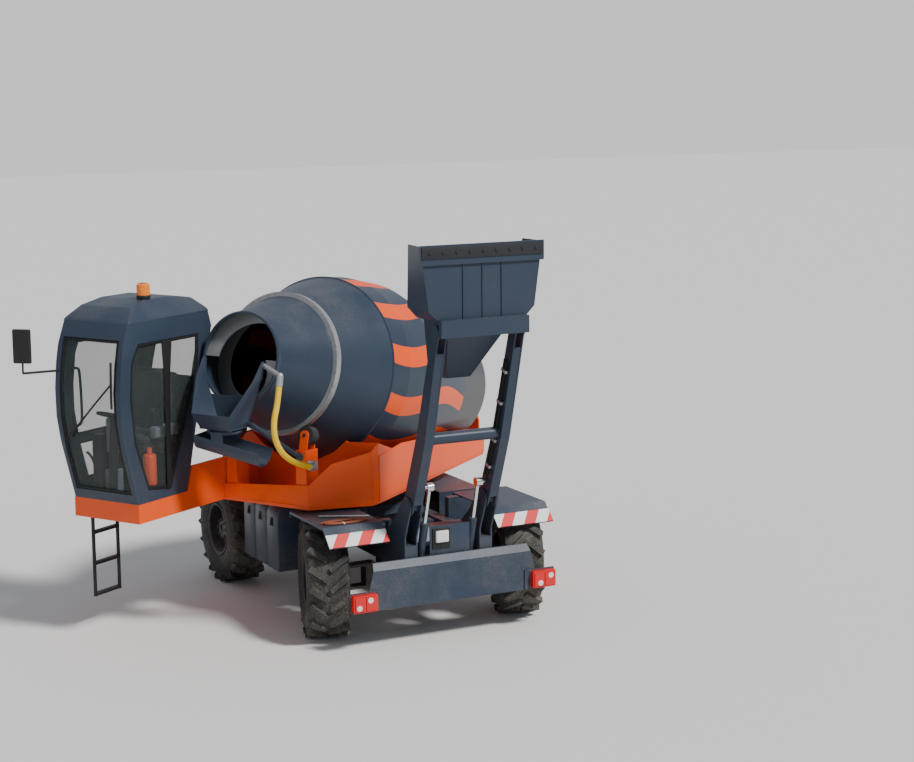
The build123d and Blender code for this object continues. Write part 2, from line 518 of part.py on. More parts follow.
# two spiral blades stand on the mouth cone's wall, each a strip between two helices on cones
blade_h, blade_t, blade_pitch, blade_s0, blade_s1 = 150.0, 8.0, 820.0, 16.0, 590.0
cone_slope = (ring_at_r - mouth_r) / ring_s
cone_angle = degrees(atan2(ring_at_r - mouth_r, ring_s))
root_r = mouth_r - drum_wall + cone_slope * blade_s0 - 2 * seat_gap
blades = []
for start in (0, 180):
    root = Edge.make_helix(blade_pitch, blade_s1 - blade_s0, root_r, angle=cone_angle)
    crest = Edge.make_helix(blade_pitch, blade_s1 - blade_s0, root_r - blade_h, angle=cone_angle)
    strip = thicken(Face.make_surface_from_curves(root, crest), amount=blade_t)
    blades.append(drum_axis * (Pos(0, 0, blade_s0) * Rot(0, 0, start) * strip))
keep("drum_blades", Compound([x for strip in blades for x in strip.solids()]), upper=True)

# the galvanised ring is seated on both cones, where they meet
ring_out = ring_r + 14
seat = 300
barrel_slope = (weld_r - ring_at_r) / (weld_s - ring_s)
ring_seat = turned([(0, ring_s - seat), (ring_at_r - cone_slope * seat + seat_gap, ring_s - seat),
                    (ring_at_r + seat_gap, ring_s), (ring_at_r + barrel_slope * seat + seat_gap, ring_s + seat),
                    (0, ring_s + seat)], drum_axis)
drum_ring = turned([(ring_at_r - 56, ring_s - ring_w / 2), (ring_out, ring_s - ring_w / 2), (ring_out, ring_s + ring_w / 2),
                    (ring_at_r - 56, ring_s + ring_w / 2)], drum_axis) - ring_seat
keep("drum_ring", drum_ring, upper=True)

# upper frame
base = [(tail_u - 10, 420), (-1600, 560), (950, 930), (1060, 930), (1520, 520)]
outline = base + [(u, -v) for u, v in base[::-1]]
deck = [plate_xy(outline, table_z, table_z + table_t)]
deck.append(Pos(0, 0, (race_top + race_gap + table_z) / 2 + 2) * Cylinder(race_r - 20, table_z - race_top - race_gap + 4)
            - Pos(0, 0, 1100) * Cylinder(race_in, 400))
deck_z = table_z + table_t
for side in (1, -1):
    # side wall along the tapering edge
    a, b = Vector(950, side * 930, 0), Vector(-1600, side * 560, 0)
    run = b - a
    wall = Plane(origin=(a.X, a.Y, deck_z - 2), x_dir=run.normalized(), z_dir=Vector(0, 0, 1).cross(run.normalized()) * -side)
    # plane's y axis points up for one side and down for the other, so draw to suit
    up = 1 if wall.y_dir.Z > 0 else -1
    rise = make_face(Polyline((0, 0), (run.length, 0), (run.length, up * 250), (run.length - 500, up * 330), (500, up * 470),
                              (0, up * 430), close=True))
    deck.append(extrude(wall * rise, amount=wall_t))
    # post and ears under the roller
    deck.append(block((post_u - post_len, post_u), sorted((side * (post_v - 60), side * (post_v + 60))), (deck_z - 2, 1700)))
front = [(-930, deck_z - 2), (930, deck_z - 2), (930, deck_z + 430), (560, 1720), (420, 1600), (160, 1480), (-160, 1480),
         (-420, 1600), (-560, 1720), (-930, deck_z + 430)]
deck.append(plate_yz(front, 950 - wall_t, 950 + 4))
back = [(-420, deck_z - 2), (420, deck_z - 2), (420, 1480), (230, 2010), (-230, 2010), (-420, 1480)]
deck.append(plate_yz(back, tail_u - wall_t, tail_u + wall_t))
# long side member toward the cab, stepped up behind it, and the cab's platform
deck.append(plate_xz([(2750, table_z), (2750, band_z1), (2048, band_z1), (1972, 1560), (960, 1560), (900, 1400), (900, table_z)],
                     cab_left - 26, cab_left))
deck.append(plate_xz([(2750, table_z), (2750, band_z1), (1700, band_z1), (1500, 1250), (1060, 1250), (1000, table_z)],
                     cab_right, cab_right + 26))
deck.append(block((2724, 2750), (cab_right, cab_left), (table_z, band_z1)))
deck.append(block((1700, 1726), (cab_right, cab_left), (table_z, band_z1)))
deck.append(block((1700, 2750), (cab_right, cab_left), (band_z1 - 20, band_z1)))
deck.append(plate_xy([(1020, cab_right + 60), (1760, cab_right), (1760, cab_left), (1020, cab_left)], table_z, table_z + table_t))
upper = joined(deck)

# the roller's ears, one plate ahead and one behind, and the tail's gearbox hole
roller_c_r = ring_out + seat_gap + roller_r
for side in (1, -1):
    c = Vector(*on_drum(ring_s, roller_c_r, side * roller_at))
    d = Vector(-cos(tilt), 0, -sin(tilt))
    for s0 in (roller_w / 2 + 4, -roller_w / 2 - 18):
        ear = Plane(origin=c + d * s0, x_dir=(0, 1, 0), z_dir=d) * (
            Pos(0, 0, 7) * Cylinder(46, 14) + Pos(0, 85, 7) * Box(88, 170, 14))
        upper = upper.fuse(ear)
    upper -= rod(c - d * 200, c + d * 200, 18 + pin_play)
upper -= rod(Vector(*on_drum(tail_s + 30)), Vector(*on_drum(tail_s + 430)), 150 + seat_gap)
keep("upper_frame", upper, upper=True)

# rollers with their axles, and the drum's drive
supports = []
for side in (1, -1):
    c = Vector(*on_drum(ring_s, roller_c_r, side * roller_at))
    d = Vector(-cos(tilt), 0, -sin(tilt))
    supports.append(rod(c - d * roller_w / 2, c + d * roller_w / 2, roller_r).fuse(rod(c - d * 72, c + d * 72, 18)))
drive = [(0, 0.5), (190, 0.5), (200, 15), (200, 60), (150, 70), (150, 190), (110, 230), (110, 270), (0, 270)]
supports.append(turned([(r, tail_end + s) for r, s in drive], drum_axis))
keep("drum_supports", joined(supports), upper=True)

# hopper and chute
hop = [
    # z, rear u, front u, half width
    (1990.0, mouth_u + 141, mouth_u + 411, 170.0),
    (2440.0, mouth_u + 106, mouth_u + 621, 330.0),
    (2600.0, mouth_u + 96, mouth_u + 661, 345.0),
]


def hop_level(z, u0, u1, half, g=0.0):
    return Pos(0, 0, z) * make_face(Polyline((u0 - g, -half - g), (u1 + g, -half - g), (u1 + g, half + g), (u0 - g, half + g), close=True))


hop_t = 6.0
hop_outer = loft([hop_level(*row) for row in hop], ruled=True)
hop_inner = loft([hop_level(*row, -hop_t) for row in hop], ruled=True)
hopper = hop_outer - hop_inner
# the back is open above the drum's lip, and the front is cut down where the bucket's spout passes
hopper -= block((mouth_u - 19, mouth_u + 126), (-324, 324), (2150, 2700))
front_cut = [(mouth_u + 241, 2640), (mouth_u + 341, 2440), (mouth_u + 781, 2440), (mouth_u + 781, 2640)]
hopper -= plate_xz(front_cut, -500, 500)
spout_u, spout_r = mouth_u + 271.0, 132.0
hopper += Pos(spout_u, 0, 1966) * Cylinder(spout_r, 60)
hopper += Pos(spout_u, 0, 1990) * Box(290, 352, 12)
hopper -= Pos(spout_u, 0, 1960) * Cylinder(spout_r - 8, 140)
hopper += Pos(spout_u, 0, 1939) * (Cylinder(spout_r + 16, 6) - Cylinder(spout_r - 8, 20))
for side in (1, -1):
    hopper += rod((post_u - 20, side * 400, 1630), (mouth_u + 171, side * 165, 2050), 22)
    hopper += rod((post_u, side * 400, 1640), (post_u + 12, side * 400, 1640), 40)
hopper -= hop_inner
hopper -= block((post_u - 280, post_u), (-500, 500), (1500, 1800))          # the struts' feet stand flat on the posts
keep("hopper", hopper, upper=True)

trough_r, trough_t, trough_len, trough_back, trough_drop, chute_turn = 150.0, 5.0, 430.0, 240.0, 12.0, 100.0
collar = Pos(spout_u, 0, 1957) * (Cylinder(spout_r + 30, 22) - Cylinder(spout_r + seat_gap, 40))
trough = Plane.XZ * (Circle(trough_r) - Circle(trough_r - trough_t))
trough = extrude(trough, amount=trough_len + trough_back, dir=(0, 1, 0))
trough = trough & block((-200, 200), (-10, 2000), (-200, 0))
trough += block((-trough_r, trough_r), (0, trough_t), (-trough_r, 0)) & (Pos(0, 20, 0) * Rot(90, 0, 0) * Cylinder(trough_r, 80))
trough = Pos(0, -trough_back, 0) * trough
trough = Rot(-trough_drop, 0, 0) * trough
trough = Pos(spout_u, 0, 1878) * Rot(0, 0, chute_turn - 90) * trough
cheeks = []
for side in (1, -1):
    cheek = block(sorted((side * (trough_r - trough_t), side * (trough_r + 6))), (-60, 60), (-30, 90))
    cheeks.append(Pos(spout_u, 0, 1878) * Rot(0, 0, chute_turn - 90) * cheek)
chute = joined([collar, trough] + cheeks) - Pos(spout_u, 0, 1940) * Cylinder(spout_r + 16 + hinge_gap, 9)
keep("chute", chute, upper=True)

# cab
side_profile = [
    (2750, 1330), (2800, 1500), (2890, 1800), (2948, 2120), (2952, 2380), (2925, 2620), (2880, 2830), (2800, 3010),
    (2660, 3120), (2430, 3170), (2050, 3170), (1800, 3130), (1680, 3030), (1622, 2850), (1740, 2480), (1900, 1900), (1985, 1565),
    (2060, 1330)]
cab_face = Plane.XZ * make_face(Polyline(*side_profile, close=True))
cab_round = 130.0
front_view = make_face(Polyline((cab_left, 1330), (cab_left, 3010), (cab_left - cab_round, 3180), (cab_right + cab_round, 3180),
                                (cab_right, 3010), (cab_right, 1330), close=True))


def cab_solid(inset):
    """The cab's outer form, or the same form drawn in by inset."""
    face = offset(cab_face, amount=-inset, kind=Kind.INTERSECTION) if inset else cab_face
    view = offset(front_view, amount=-inset, kind=Kind.INTERSECTION) if inset else front_view
    long = extrude(face, amount=1400, dir=(0, -1, 0))
    wide = Pos(1400, 0, 0) * extrude(Plane.YZ * view, amount=1800, dir=(1, 0, 0))
    return long & wide


cab_outer = cab_solid(0)
cab_inner = cab_solid(cab_wall)
cab_mid = (cab_left + cab_right) / 2
window_edge = 52.0
screen_cut = block((2400, 3200), (cab_right + window_edge, cab_left - window_edge), (1420, 2850))
rear_cut = block((1400, hinge_u - 2), (cab_right + 110, cab_left - 110), (2260, 2840))
left_pts = [(2690, 2800), (1830, 2800), (1850, 2480), (2290, 1400), (2610, 1440), (2780, 1900), (2820, 2300), (2790, 2640)]
left_cut = plate_xz(left_pts, cab_left - 100, cab_left + 100)
door_pts = [(2700, 2860), (hinge_u + 8, 2860), (hinge_u - 2, 2500), (2040, 1900), (2120, 1400), (2640, 1400),
            (2760, 1800), (2826, 2150), (2826, 2400), (2780, 2700)]
door_cut = plate_xz(door_pts, cab_right - 100, cab_right + 100)
shell = cab_outer - cab_inner
shell = shell - screen_cut - rear_cut - left_cut - door_cut
hinge_zs = (2560.0, 2760.0)
hinge_v, hinge_r, hinge_pin_r, hinge_h = cab_right - 16.0, 14.0, 7.0, 44.0
bracket_u = hinge_u - 52.0
for z in hinge_zs:                                         # the door's hinge pins stand on brackets of the rear post
    shell += block((bracket_u, hinge_u + hinge_pin_r), (cab_right - 23, cab_right - 5), (z - 12, z))
    shell += block((bracket_u, hinge_u - 6), (cab_right - 23, cab_right + 2), (z - 12, z))
    shell += Pos(hinge_u, hinge_v, z + 18) * Cylinder(hinge_pin_r, 60)
keep("cab_shell", shell, upper=True)

glass_skin = cab_solid(glass_in) - cab_solid(glass_in + glass_t)


def pane_box(u, v, z):
    """A window's opening, drawn in by the seat gap on its four sides."""
    return block(u, (v[0] + seat_gap, v[1] - seat_gap), (z[0] + seat_gap, z[1] - seat_gap))


screen = glass_skin & pane_box((2500, 3200), (cab_right + window_edge, cab_left - window_edge), (1420, 2850))
rear_pane = glass_skin & pane_box((1400, 1838), (cab_right + 110, cab_left - 110), (2260, 2840))
left_pane = glass_skin & (Pos(0, cab_left + 100, 0) * extrude(offset(Plane.XZ * make_face(Polyline(*left_pts, close=True)), amount=-0.3),
                                                             amount=200, dir=(0, -1, 0)))
keep("cab_glass", joined([screen, rear_pane, left_pane]), upper=True)

door_face = offset(Plane.XZ * make_face(Polyline(*door_pts, close=True)), amount=-hinge_gap, kind=Kind.INTERSECTION)
door_body = (Pos(0, cab_right + 100, 0) * extrude(door_face, amount=200, dir=(0, -1, 0))) & (cab_outer - cab_solid(cab_wall))
pane_face = offset(door_face, amount=-70, kind=Kind.INTERSECTION)
pane_cut = Pos(0, cab_right + 100, 0) * extrude(pane_face, amount=200, dir=(0, -1, 0))
rail_zs = (1840.0, 1900.0)                               # the rail across the door's window
rail = block((1800, 2900), (cab_right - 50, cab_right + 50), rail_zs)
door = door_body - (pane_cut - rail)
handle_u = 2764.0
handle = [rod((handle_u, cab_right - 34, 1960), (handle_u, cab_right - 34, 2120), 9)]
for z in (1964, 2116):
    handle.append(rod((handle_u, cab_right - 36, z), (handle_u, cab_right + 4, z), 7))
for z in hinge_zs:
    strap = block((hinge_u, hinge_u + 62), (hinge_v - 6, hinge_v + 6), (z, z + hinge_h))
    strap += block((hinge_u + 22, hinge_u + 62), (hinge_v - 6, cab_right + 2), (z, z + hinge_h))
    strap += Pos(hinge_u, hinge_v, z + hinge_h / 2) * Cylinder(hinge_r, hinge_h)
    handle.append(strap - Pos(hinge_u, hinge_v, z) * Cylinder(hinge_pin_r + pin_play, 200))
door = joined([door] + handle)
keep("cab_door", door, upper=True)
door_glass = (Pos(0, cab_right + 100, 0) * extrude(offset(pane_face, amount=-0.3), amount=200, dir=(0, -1, 0))) & glass_skin
door_glass -= block((1800, 2900), (cab_right - 60, cab_right + 60), (rail_zs[0] - seat_gap, rail_zs[1] + seat_gap))
keep("door_glass", door_glass, upper=True)

# seat, console and steering column
floor_z = band_z1 + cab_wall
seat = [block((2130, 2400), (cab_mid - 150, cab_mid + 150), (floor_z, floor_z + 340))]
cushion = block((2020, 2450), (cab_mid - 230, cab_mid + 230), (floor_z + 340, floor_z + 450))
cushion = fillet(cushion.edges().filter_by(Axis.Z), 40)
seat.append(cushion)
seat.append(plate_xz([(2080, floor_z + 430), (1960, floor_z + 1060), (2040, floor_z + 1080), (2160, floor_z + 440)], cab_mid - 220, cab_mid + 220))
column = rod((2655, cab_mid, floor_z), (2597, cab_mid, floor_z + 716), 42) - block((2500, 2800), (-1400, 0), (1200, floor_z))
wheel = Plane(origin=(2596, cab_mid, floor_z + 726), z_dir=(-0.35, 0, 1)) * (Cylinder(170, 22) - Cylinder(150, 40) + Box(310, 30, 16) + Cylinder(40, 24))
console = block((2600, 2700), (cab_mid - 190, cab_mid - 90), (floor_z, floor_z + 560))
keep("cab_interior", joined(seat + [joined([column, wheel]), console]), upper=True)

# ladder under the door, mirror at the front corner, beacon on the roof
ladder = []
rail_v = cab_right - 26.0
for u in (2150.0, 2490.0):
    ladder.append(rod((u, rail_v, 310), (u, rail_v, band_z1 - 20), 17))
    ladder.append(rod((u, rail_v, 1290), (u, cab_right, 1290), 15))
    ladder.append(rod((u, rail_v, 1190), (u, cab_right, 1190), 15))
for z in (930.0, 630.0, 330.0):
    ladder.append(block((2150, 2490), (rail_v - 24, rail_v + 24), (z - 14, z + 14)))
ladder = joined(ladder)
mirror_arm = joined([rod((2850, cab_right + 40, 2535), (3290, cab_right - 60, 2555), 11),
                     rod((3290, cab_right - 60, 2552), (3290, cab_right - 60, 2670), 9)])
head_box = Pos(3290, cab_right - 60, 2800) * Rot(0, 0, 20) * fillet(Box(40, 170, 310).edges(), 14)
mirror_set = joined([mirror_arm, head_box]) - cab_solid(0)
beacon_u, beacon_v, roof_z = 2380.0, cab_left - 180.0, 3170.0
beacon = Pos(beacon_u, beacon_v, roof_z) * joined([
    Cylinder(44, 30, align=(Align.CENTER, Align.CENTER, Align.MIN)),
    Pos(0, 0, 30) * Cylinder(50, 24, align=(Align.CENTER, Align.CENTER, Align.MIN)),
    Pos(0, 0, 54) * Cone(46, 38, 90, align=(Align.CENTER, Align.CENTER, Align.MIN))])
keep("cab_outfit", Compound([x for part in (ladder, mirror_set, beacon) for x in part.solids()]), upper=True)

# water hose from the mouth to the frame
hose_d, hose_v = 56.0, 560.0
# u, v, z along the hose's middle
hose_points = [(1990, hose_v, 2400), (2020, hose_v, 2240), (2085, hose_v, 2090), (2075, hose_v, 1930), (1985, hose_v, 1790),
               (1840, hose_v - 5, 1690), (1680, hose_v - 12, 1620), (1520, hose_v - 20, 1570)]
bends = []
for a, b, c in zip(hose_points, hose_points[1:], hose_points[2:]):
    one, two = Vector(*b) - Vector(*a), Vector(*c) - Vector(*b)
    bends.append(0.45 * min(one.length, two.length) / tan(radians(one.get_angle(two) / 2)))
print("hose radii", [round(r) for r in bends])
path = FilletPolyline(*hose_points, radius=bends)
hose = sweep(Plane(origin=path @ 0, z_dir=path % 0) * Circle(hose_d / 2), path=path)
print("hose volume", round(hose.volume), "section times length", round(pi * hose_d ** 2 / 4 * path.length), "length", round(path.length))
keep("water_hose", hose, upper=True)
top, foot = Vector(*hose_points[0]), Vector(*hose_points[-1])
up, out = (top - Vector(*hose_points[1])).normalized(), (foot - Vector(*hose_points[-2])).normalized()
elbow = joined([rod(top, top + up * 90, 33), rod(top + up * 90, (1915, 340, 2560), 24), Pos(*(top + up * 90)) * Sphere(33)])
clamp = joined([rod(foot, foot + out * 70, 36), block((post_u - 66, post_u - 16), (post_v + 60, 560), (1530, 1610))])
keep("hose_fittings", joined([elbow - hop_outer, clamp]), upper=True)

# save
for name, shape in pieces.items():
    export_step(shape, "parts/" + name + ".step")
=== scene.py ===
# %% [markdown]
# # A self-loading concrete mixer
# The machine stands as it was parked: the drum and the cab are turned across the chassis, and the
# loading bucket is raised. The rigid parts come in as a fixed frame. This script gives them their
# finishes, adds the hose, the seat's upholstery and the small trim, and sets the light and the camera.

# %% Load the frame
import json
import math

import bmesh
import bpy
from mathutils import Euler, Matrix, Vector


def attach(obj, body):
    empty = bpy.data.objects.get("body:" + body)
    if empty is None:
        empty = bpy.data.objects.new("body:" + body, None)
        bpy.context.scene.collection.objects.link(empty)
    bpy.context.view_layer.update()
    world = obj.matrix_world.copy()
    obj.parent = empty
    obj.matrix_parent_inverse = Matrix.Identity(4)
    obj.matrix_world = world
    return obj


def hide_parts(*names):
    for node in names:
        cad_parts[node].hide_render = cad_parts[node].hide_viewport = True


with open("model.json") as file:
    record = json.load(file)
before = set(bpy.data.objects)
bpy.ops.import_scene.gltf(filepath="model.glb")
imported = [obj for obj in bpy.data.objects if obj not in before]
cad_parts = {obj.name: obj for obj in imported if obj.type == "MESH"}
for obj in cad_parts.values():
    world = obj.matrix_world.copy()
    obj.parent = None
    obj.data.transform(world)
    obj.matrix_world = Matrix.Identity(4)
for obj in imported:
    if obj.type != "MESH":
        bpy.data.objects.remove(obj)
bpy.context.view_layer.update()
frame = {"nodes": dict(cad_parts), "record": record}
nodes = frame["nodes"]

# %% [markdown]
# ## Where things are
# All the machine's places are measured from the slewing axis, which stands a little off the middle
# of the whole. The upper works are drawn in their own directions: u forward through the drum's
# mouth and v to its left. Two small functions turn such places into the frame's metres.

# %% Places on the chassis and on the slewing upper works
SLEW_AXIS = Vector((0.608, -0.923, 0.0))
SLEW_HEADING = math.radians(121.4)
MOUTH_AT = (1.819, 0, 2.595)                 # the middle of the drum's mouth: u, v and z


def on_chassis(x, y, z):
    """Metres forward, left and up from the slewing axis."""
    return SLEW_AXIS + Vector((x, y, z))


def on_upper(u, v, z):
    """Metres along the drum, to its left and up, seen from the slewing axis."""
    c, s = math.cos(SLEW_HEADING), math.sin(SLEW_HEADING)
    return SLEW_AXIS + Vector((u * c - v * s, u * s + v * c, z))


print("drum's mouth", tuple(round(a, 3) for a in on_upper(*MOUTH_AT)))

# %% [markdown]
# ## The camera
# The photographer stood about eighteen metres behind the machine, on its left, and a little above
# the cab. A long lens from there keeps the chassis and the drum in the photograph's proportions.

# %% The camera
CAMERA_AT = (-17.899, 7.938, 5.246)          # from the slewing axis
HEADING, PITCH, ROLL = -26.97, 9.1, 0.5      # degrees
FOCAL_PX, FRAME_W = 1967.3, 914

lens = bpy.data.cameras.new("photo_camera")
lens.sensor_width = 36.0
lens.lens = FOCAL_PX / FRAME_W * lens.sensor_width
lens.clip_end = 300
camera = bpy.data.objects.new("photo_camera", lens)
bpy.context.scene.collection.objects.link(camera)
turn = (Matrix.Rotation(math.radians(HEADING - 90), 4, "Z")
        @ Matrix.Rotation(math.radians(90 - PITCH), 4, "X")
        @ Matrix.Rotation(math.radians(-ROLL), 4, "Z"))
camera.matrix_world = Matrix.Translation(on_chassis(*CAMERA_AT)) @ turn
bpy.context.scene.camera = camera
print("lens", round(lens.lens, 1), "mm")

# %% [markdown]
# ## Floor and light
# A plain pale floor, one large soft sun from the photographer's left, and an even pale sky. The sky
# seen directly is a flat pale colour, so the machine's outline stays clear.

# %% Floor, sun and sky
def plain_material(name, color, roughness=0.6, metallic=0.0):
    """A material with one colour all over."""
    m = bpy.data.materials.new(name)
    m.use_nodes = True
    b = m.node_tree.nodes["Principled BSDF"]
    b.inputs["Base Color"].default_value = (*color, 1)
    b.inputs["Roughness"].default_value = roughness
    b.inputs["Metallic"].default_value = metallic
    return m


bpy.ops.object.select_all(action="DESELECT")
bpy.ops.mesh.primitive_plane_add(size=160, location=(0, 0, -0.001))
floor = bpy.context.object
floor.name = "pale_floor"
floor.data.materials.append(plain_material("pale_floor", (0.72, 0.70, 0.67), 0.9))

sun = bpy.data.objects.new("soft_sun", bpy.data.lights.new("soft_sun", "SUN"))
sun.data.energy = 3.9
sun.data.angle = math.radians(9)
sun.rotation_euler = Euler((math.radians(42), 0, math.radians(-62)))
bpy.context.scene.collection.objects.link(sun)

sky = bpy.data.worlds.new("pale_sky")
sky.use_nodes = True
bpy.context.scene.world = sky
tree = sky.node_tree
tree.nodes.clear()
out = tree.nodes.new("ShaderNodeOutputWorld")
seen = tree.nodes.new("ShaderNodeBackground")
seen.inputs["Color"].default_value = (0.86, 0.86, 0.86, 1)
light = tree.nodes.new("ShaderNodeBackground")
light.inputs["Color"].default_value = (0.80, 0.86, 0.95, 1)
light.inputs["Strength"].default_value = 0.52
path = tree.nodes.new("ShaderNodeLightPath")
mix = tree.nodes.new("ShaderNodeMixShader")
tree.links.new(path.outputs["Is Camera Ray"], mix.inputs["Fac"])
tree.links.new(light.outputs[0], mix.inputs[1])
tree.links.new(seen.outputs[0], mix.inputs[2])
tree.links.new(mix.outputs[0], out.inputs["Surface"])

# %% [markdown]
# ## A helper for node trees
# Each finish below is a short list of nodes. This helper adds a node, sets what is given and joins
# the sockets that are named, so a recipe reads from top to bottom.

# %% Node helper
def node(tree, kind, inputs=None, **settings):
    """A new node of that kind; an input may be a value or another node's output socket."""
    n = tree.nodes.new("ShaderNode" + kind)
    for key, value in settings.items():
        setattr(n, key, value)
    for key, value in (inputs or {}).items():
        socket = n.inputs[key]
        if isinstance(value, bpy.types.NodeSocket):
            tree.links.new(value, socket)
        else:
            socket.default_value = value
    return n


def ramp(tree, fac, stops):
    """A colour ramp over fac through (position, grey level) stops."""
    r = node(tree, "ValToRGB", {"Fac": fac})
    while len(r.color_ramp.elements) < len(stops):
        r.color_ramp.elements.new(0.5)
    for e, (at, level) in zip(r.color_ramp.elements, stops):
        e.position = at
        e.color = (level, level, level, 1)
    return r.outputs["Color"]


# %% [markdown]
# ## Dust and painted light, used by every painted finish
# A machine on a site wears a thin pale film, thicker low down. More of it lies on what faces up: partly dust,
# partly painted light, so the tops read paler as painted sunlight and the upright sides darker as painted
# shade. The group below gives that film's amount, so that all paints share one kind of dust and painted
# light.

# %% The dust and painted-light group
def make_dust_and_top_light():
    """The node group that gives the film's amount at each place."""
    g = bpy.data.node_groups.new("site_dust_and_top_light", "ShaderNodeTree")
    g.interface.new_socket(name="Low", in_out="INPUT", socket_type="NodeSocketFloat").default_value = 0.4
    g.interface.new_socket(name="Amount", in_out="OUTPUT", socket_type="NodeSocketFloat")
    t_in, t_out = g.nodes.new("NodeGroupInput"), g.nodes.new("NodeGroupOutput")
    place = node(g, "TexCoord")
    cloud = node(g, "TexNoise", {"Vector": place.outputs["Object"], "Scale": 1.7, "Detail": 8.0,
                                 "Roughness": 0.62})
    fine = node(g, "TexNoise", {"Vector": place.outputs["Object"], "Scale": 60.0, "Detail": 4.0})
    patch = ramp(g, cloud.outputs["Fac"], [(0.38, 0.0), (0.72, 1.0)])
    speck = ramp(g, fine.outputs["Fac"], [(0.45, 0.35), (0.70, 1.0)])
    spot = node(g, "Math", {0: patch, 1: speck}, operation="MULTIPLY")
    height = node(g, "SeparateXYZ", {"Vector": place.outputs["Object"]})
    low = node(g, "MapRange", {"Value": height.outputs["Z"], "From Min": 0.2, "From Max": 2.2,
                               "To Min": 1.0, "To Max": 0.0})
    lows = node(g, "Math", {0: low.outputs["Result"], 1: t_in.outputs["Low"]}, operation="MULTIPLY")
    # painted light: faces turned up get up to 0.20 more pale film, partly dust and partly painted sunlight,
    # which leaves the upright sides darker as painted shade
    face = node(g, "NewGeometry")
    ups = node(g, "SeparateXYZ", {"Vector": face.outputs["Normal"]})
    up = node(g, "MapRange", {"Value": ups.outputs["Z"], "From Min": 0.3, "From Max": 1.0,
                              "To Min": 0.0, "To Max": 0.20})
    total = node(g, "Math", {0: lows.outputs[0], 1: up.outputs["Result"]}, operation="ADD")
    base = node(g, "Math", {0: total.outputs[0], 1: 0.03}, operation="ADD")
    amount = node(g, "Math", {0: base.outputs[0], 1: spot.outputs[0]}, operation="MULTIPLY", use_clamp=True)
    g.links.new(amount.outputs[0], t_out.inputs["Amount"])
    return g


# the film's amount and colour: dust, and painted light that makes the tops paler than the upright sides
DUST_AND_TOP_LIGHT = make_dust_and_top_light()
DUST_AND_LIGHT_COLOR = (0.46, 0.40, 0.33, 1)

# %% [markdown]
# ## Paints
# The machine is painted in two colours: a dark slate blue-grey and a strong orange. Both are the
# same semi-gloss paint, so one function makes them and only the colour differs. A fine noise in the
# bump gives the slight ripple of sprayed paint, and the pale film of dust and painted top light takes the
# gloss away where it lies.

# %% Paints
def paint(name, color, roughness=0.34, low=0.4, dust_and_light_color=DUST_AND_LIGHT_COLOR, ripple=0.04, metallic=0.0):
    """A painted or moulded finish under a pale film of site dust and painted top light; low is how much dust
    its lower parts take.
    """
    m = bpy.data.materials.new(name)
    m.use_nodes = True
    t = m.node_tree
    b = t.nodes["Principled BSDF"]
    b.inputs["Metallic"].default_value = metallic
    b.inputs["Specular IOR Level"].default_value = 0.28
    # the pale film: dust, and painted light that makes the tops paler than the upright sides
    dust_and_light = node(t, "Group", node_tree=DUST_AND_TOP_LIGHT)
    dust_and_light.inputs["Low"].default_value = low
    film = node(t, "Mix", {0: dust_and_light.outputs["Amount"], 6: (*color, 1), 7: dust_and_light_color}, data_type="RGBA")
    film.name = "film"
    rough = node(t, "MapRange", {"Value": dust_and_light.outputs["Amount"], "To Min": roughness, "To Max": 0.85})
    place = node(t, "TexCoord")
    grain = node(t, "TexNoise", {"Vector": place.outputs["Object"], "Scale": 180.0, "Detail": 2.0})
    bump = node(t, "Bump", {"Height": grain.outputs["Fac"], "Strength": ripple, "Distance": 0.002})
    t.links.new(film.outputs[2], b.inputs["Base Color"])
    t.links.new(rough.outputs["Result"], b.inputs["Roughness"])
    t.links.new(bump.outputs["Normal"], b.inputs["Normal"])
    return m


SLATE_COLOR, ORANGE_COLOR = (0.030, 0.044, 0.068), (0.88, 0.088, 0.006)
slate = paint("slate_paint", SLATE_COLOR, 0.34, 0.22)
orange = paint("orange_paint", ORANGE_COLOR, 0.38, 0.10)
dark_metal = paint("dark_metal", (0.022, 0.023, 0.026), 0.5, 0.5)
black_plastic = paint("black_plastic", (0.014, 0.014, 0.016), 0.5, 0.15, ripple=0.2)
black_rubber = paint("black_rubber", (0.010, 0.010, 0.011), 0.7, 0.1, ripple=0.1)
grey_steel = paint("blade_steel", (0.30, 0.31, 0.32), 0.45, 0.5, ripple=0.3, metallic=0.6)
print("paints made")

# %% [markdown]
# ## Bare and plated metals, rubber and plastics
# The ring on the drum and the hose's fittings are galvanised: a dull grey with a faint spangle of
# zinc crystals, which a Voronoi pattern gives. The cylinders' rods are chromed, so they get one
# plain, very smooth metal with fine streaks in its roughness.

# %% Galvanised steel, chrome, tyre rubber, hose and seat cloth
def galvanised_steel():
    """Dull zinc with a faint spangle."""
    m = bpy.data.materials.new("galvanised")
    m.use_nodes = True
    t = m.node_tree
    b = t.nodes["Principled BSDF"]
    b.inputs["Metallic"].default_value = 0.75
    place = node(t, "TexCoord")
    spangle = node(t, "TexVoronoi", {"Vector": place.outputs["Object"], "Scale": 45.0})
    cloud = node(t, "TexNoise", {"Vector": place.outputs["Object"], "Scale": 6.0, "Detail": 5.0})
    shade = node(t, "MapRange", {"Value": spangle.outputs["Color"], "To Min": 0.36, "To Max": 0.50})
    color = node(t, "CombineColor", {"Red": shade.outputs["Result"], "Green": shade.outputs["Result"],
                                     "Blue": shade.outputs["Result"]})
    rough = node(t, "MapRange", {"Value": cloud.outputs["Fac"], "To Min": 0.32, "To Max": 0.62})
    t.links.new(color.outputs["Color"], b.inputs["Base Color"])
    t.links.new(rough.outputs["Result"], b.inputs["Roughness"])
    return m


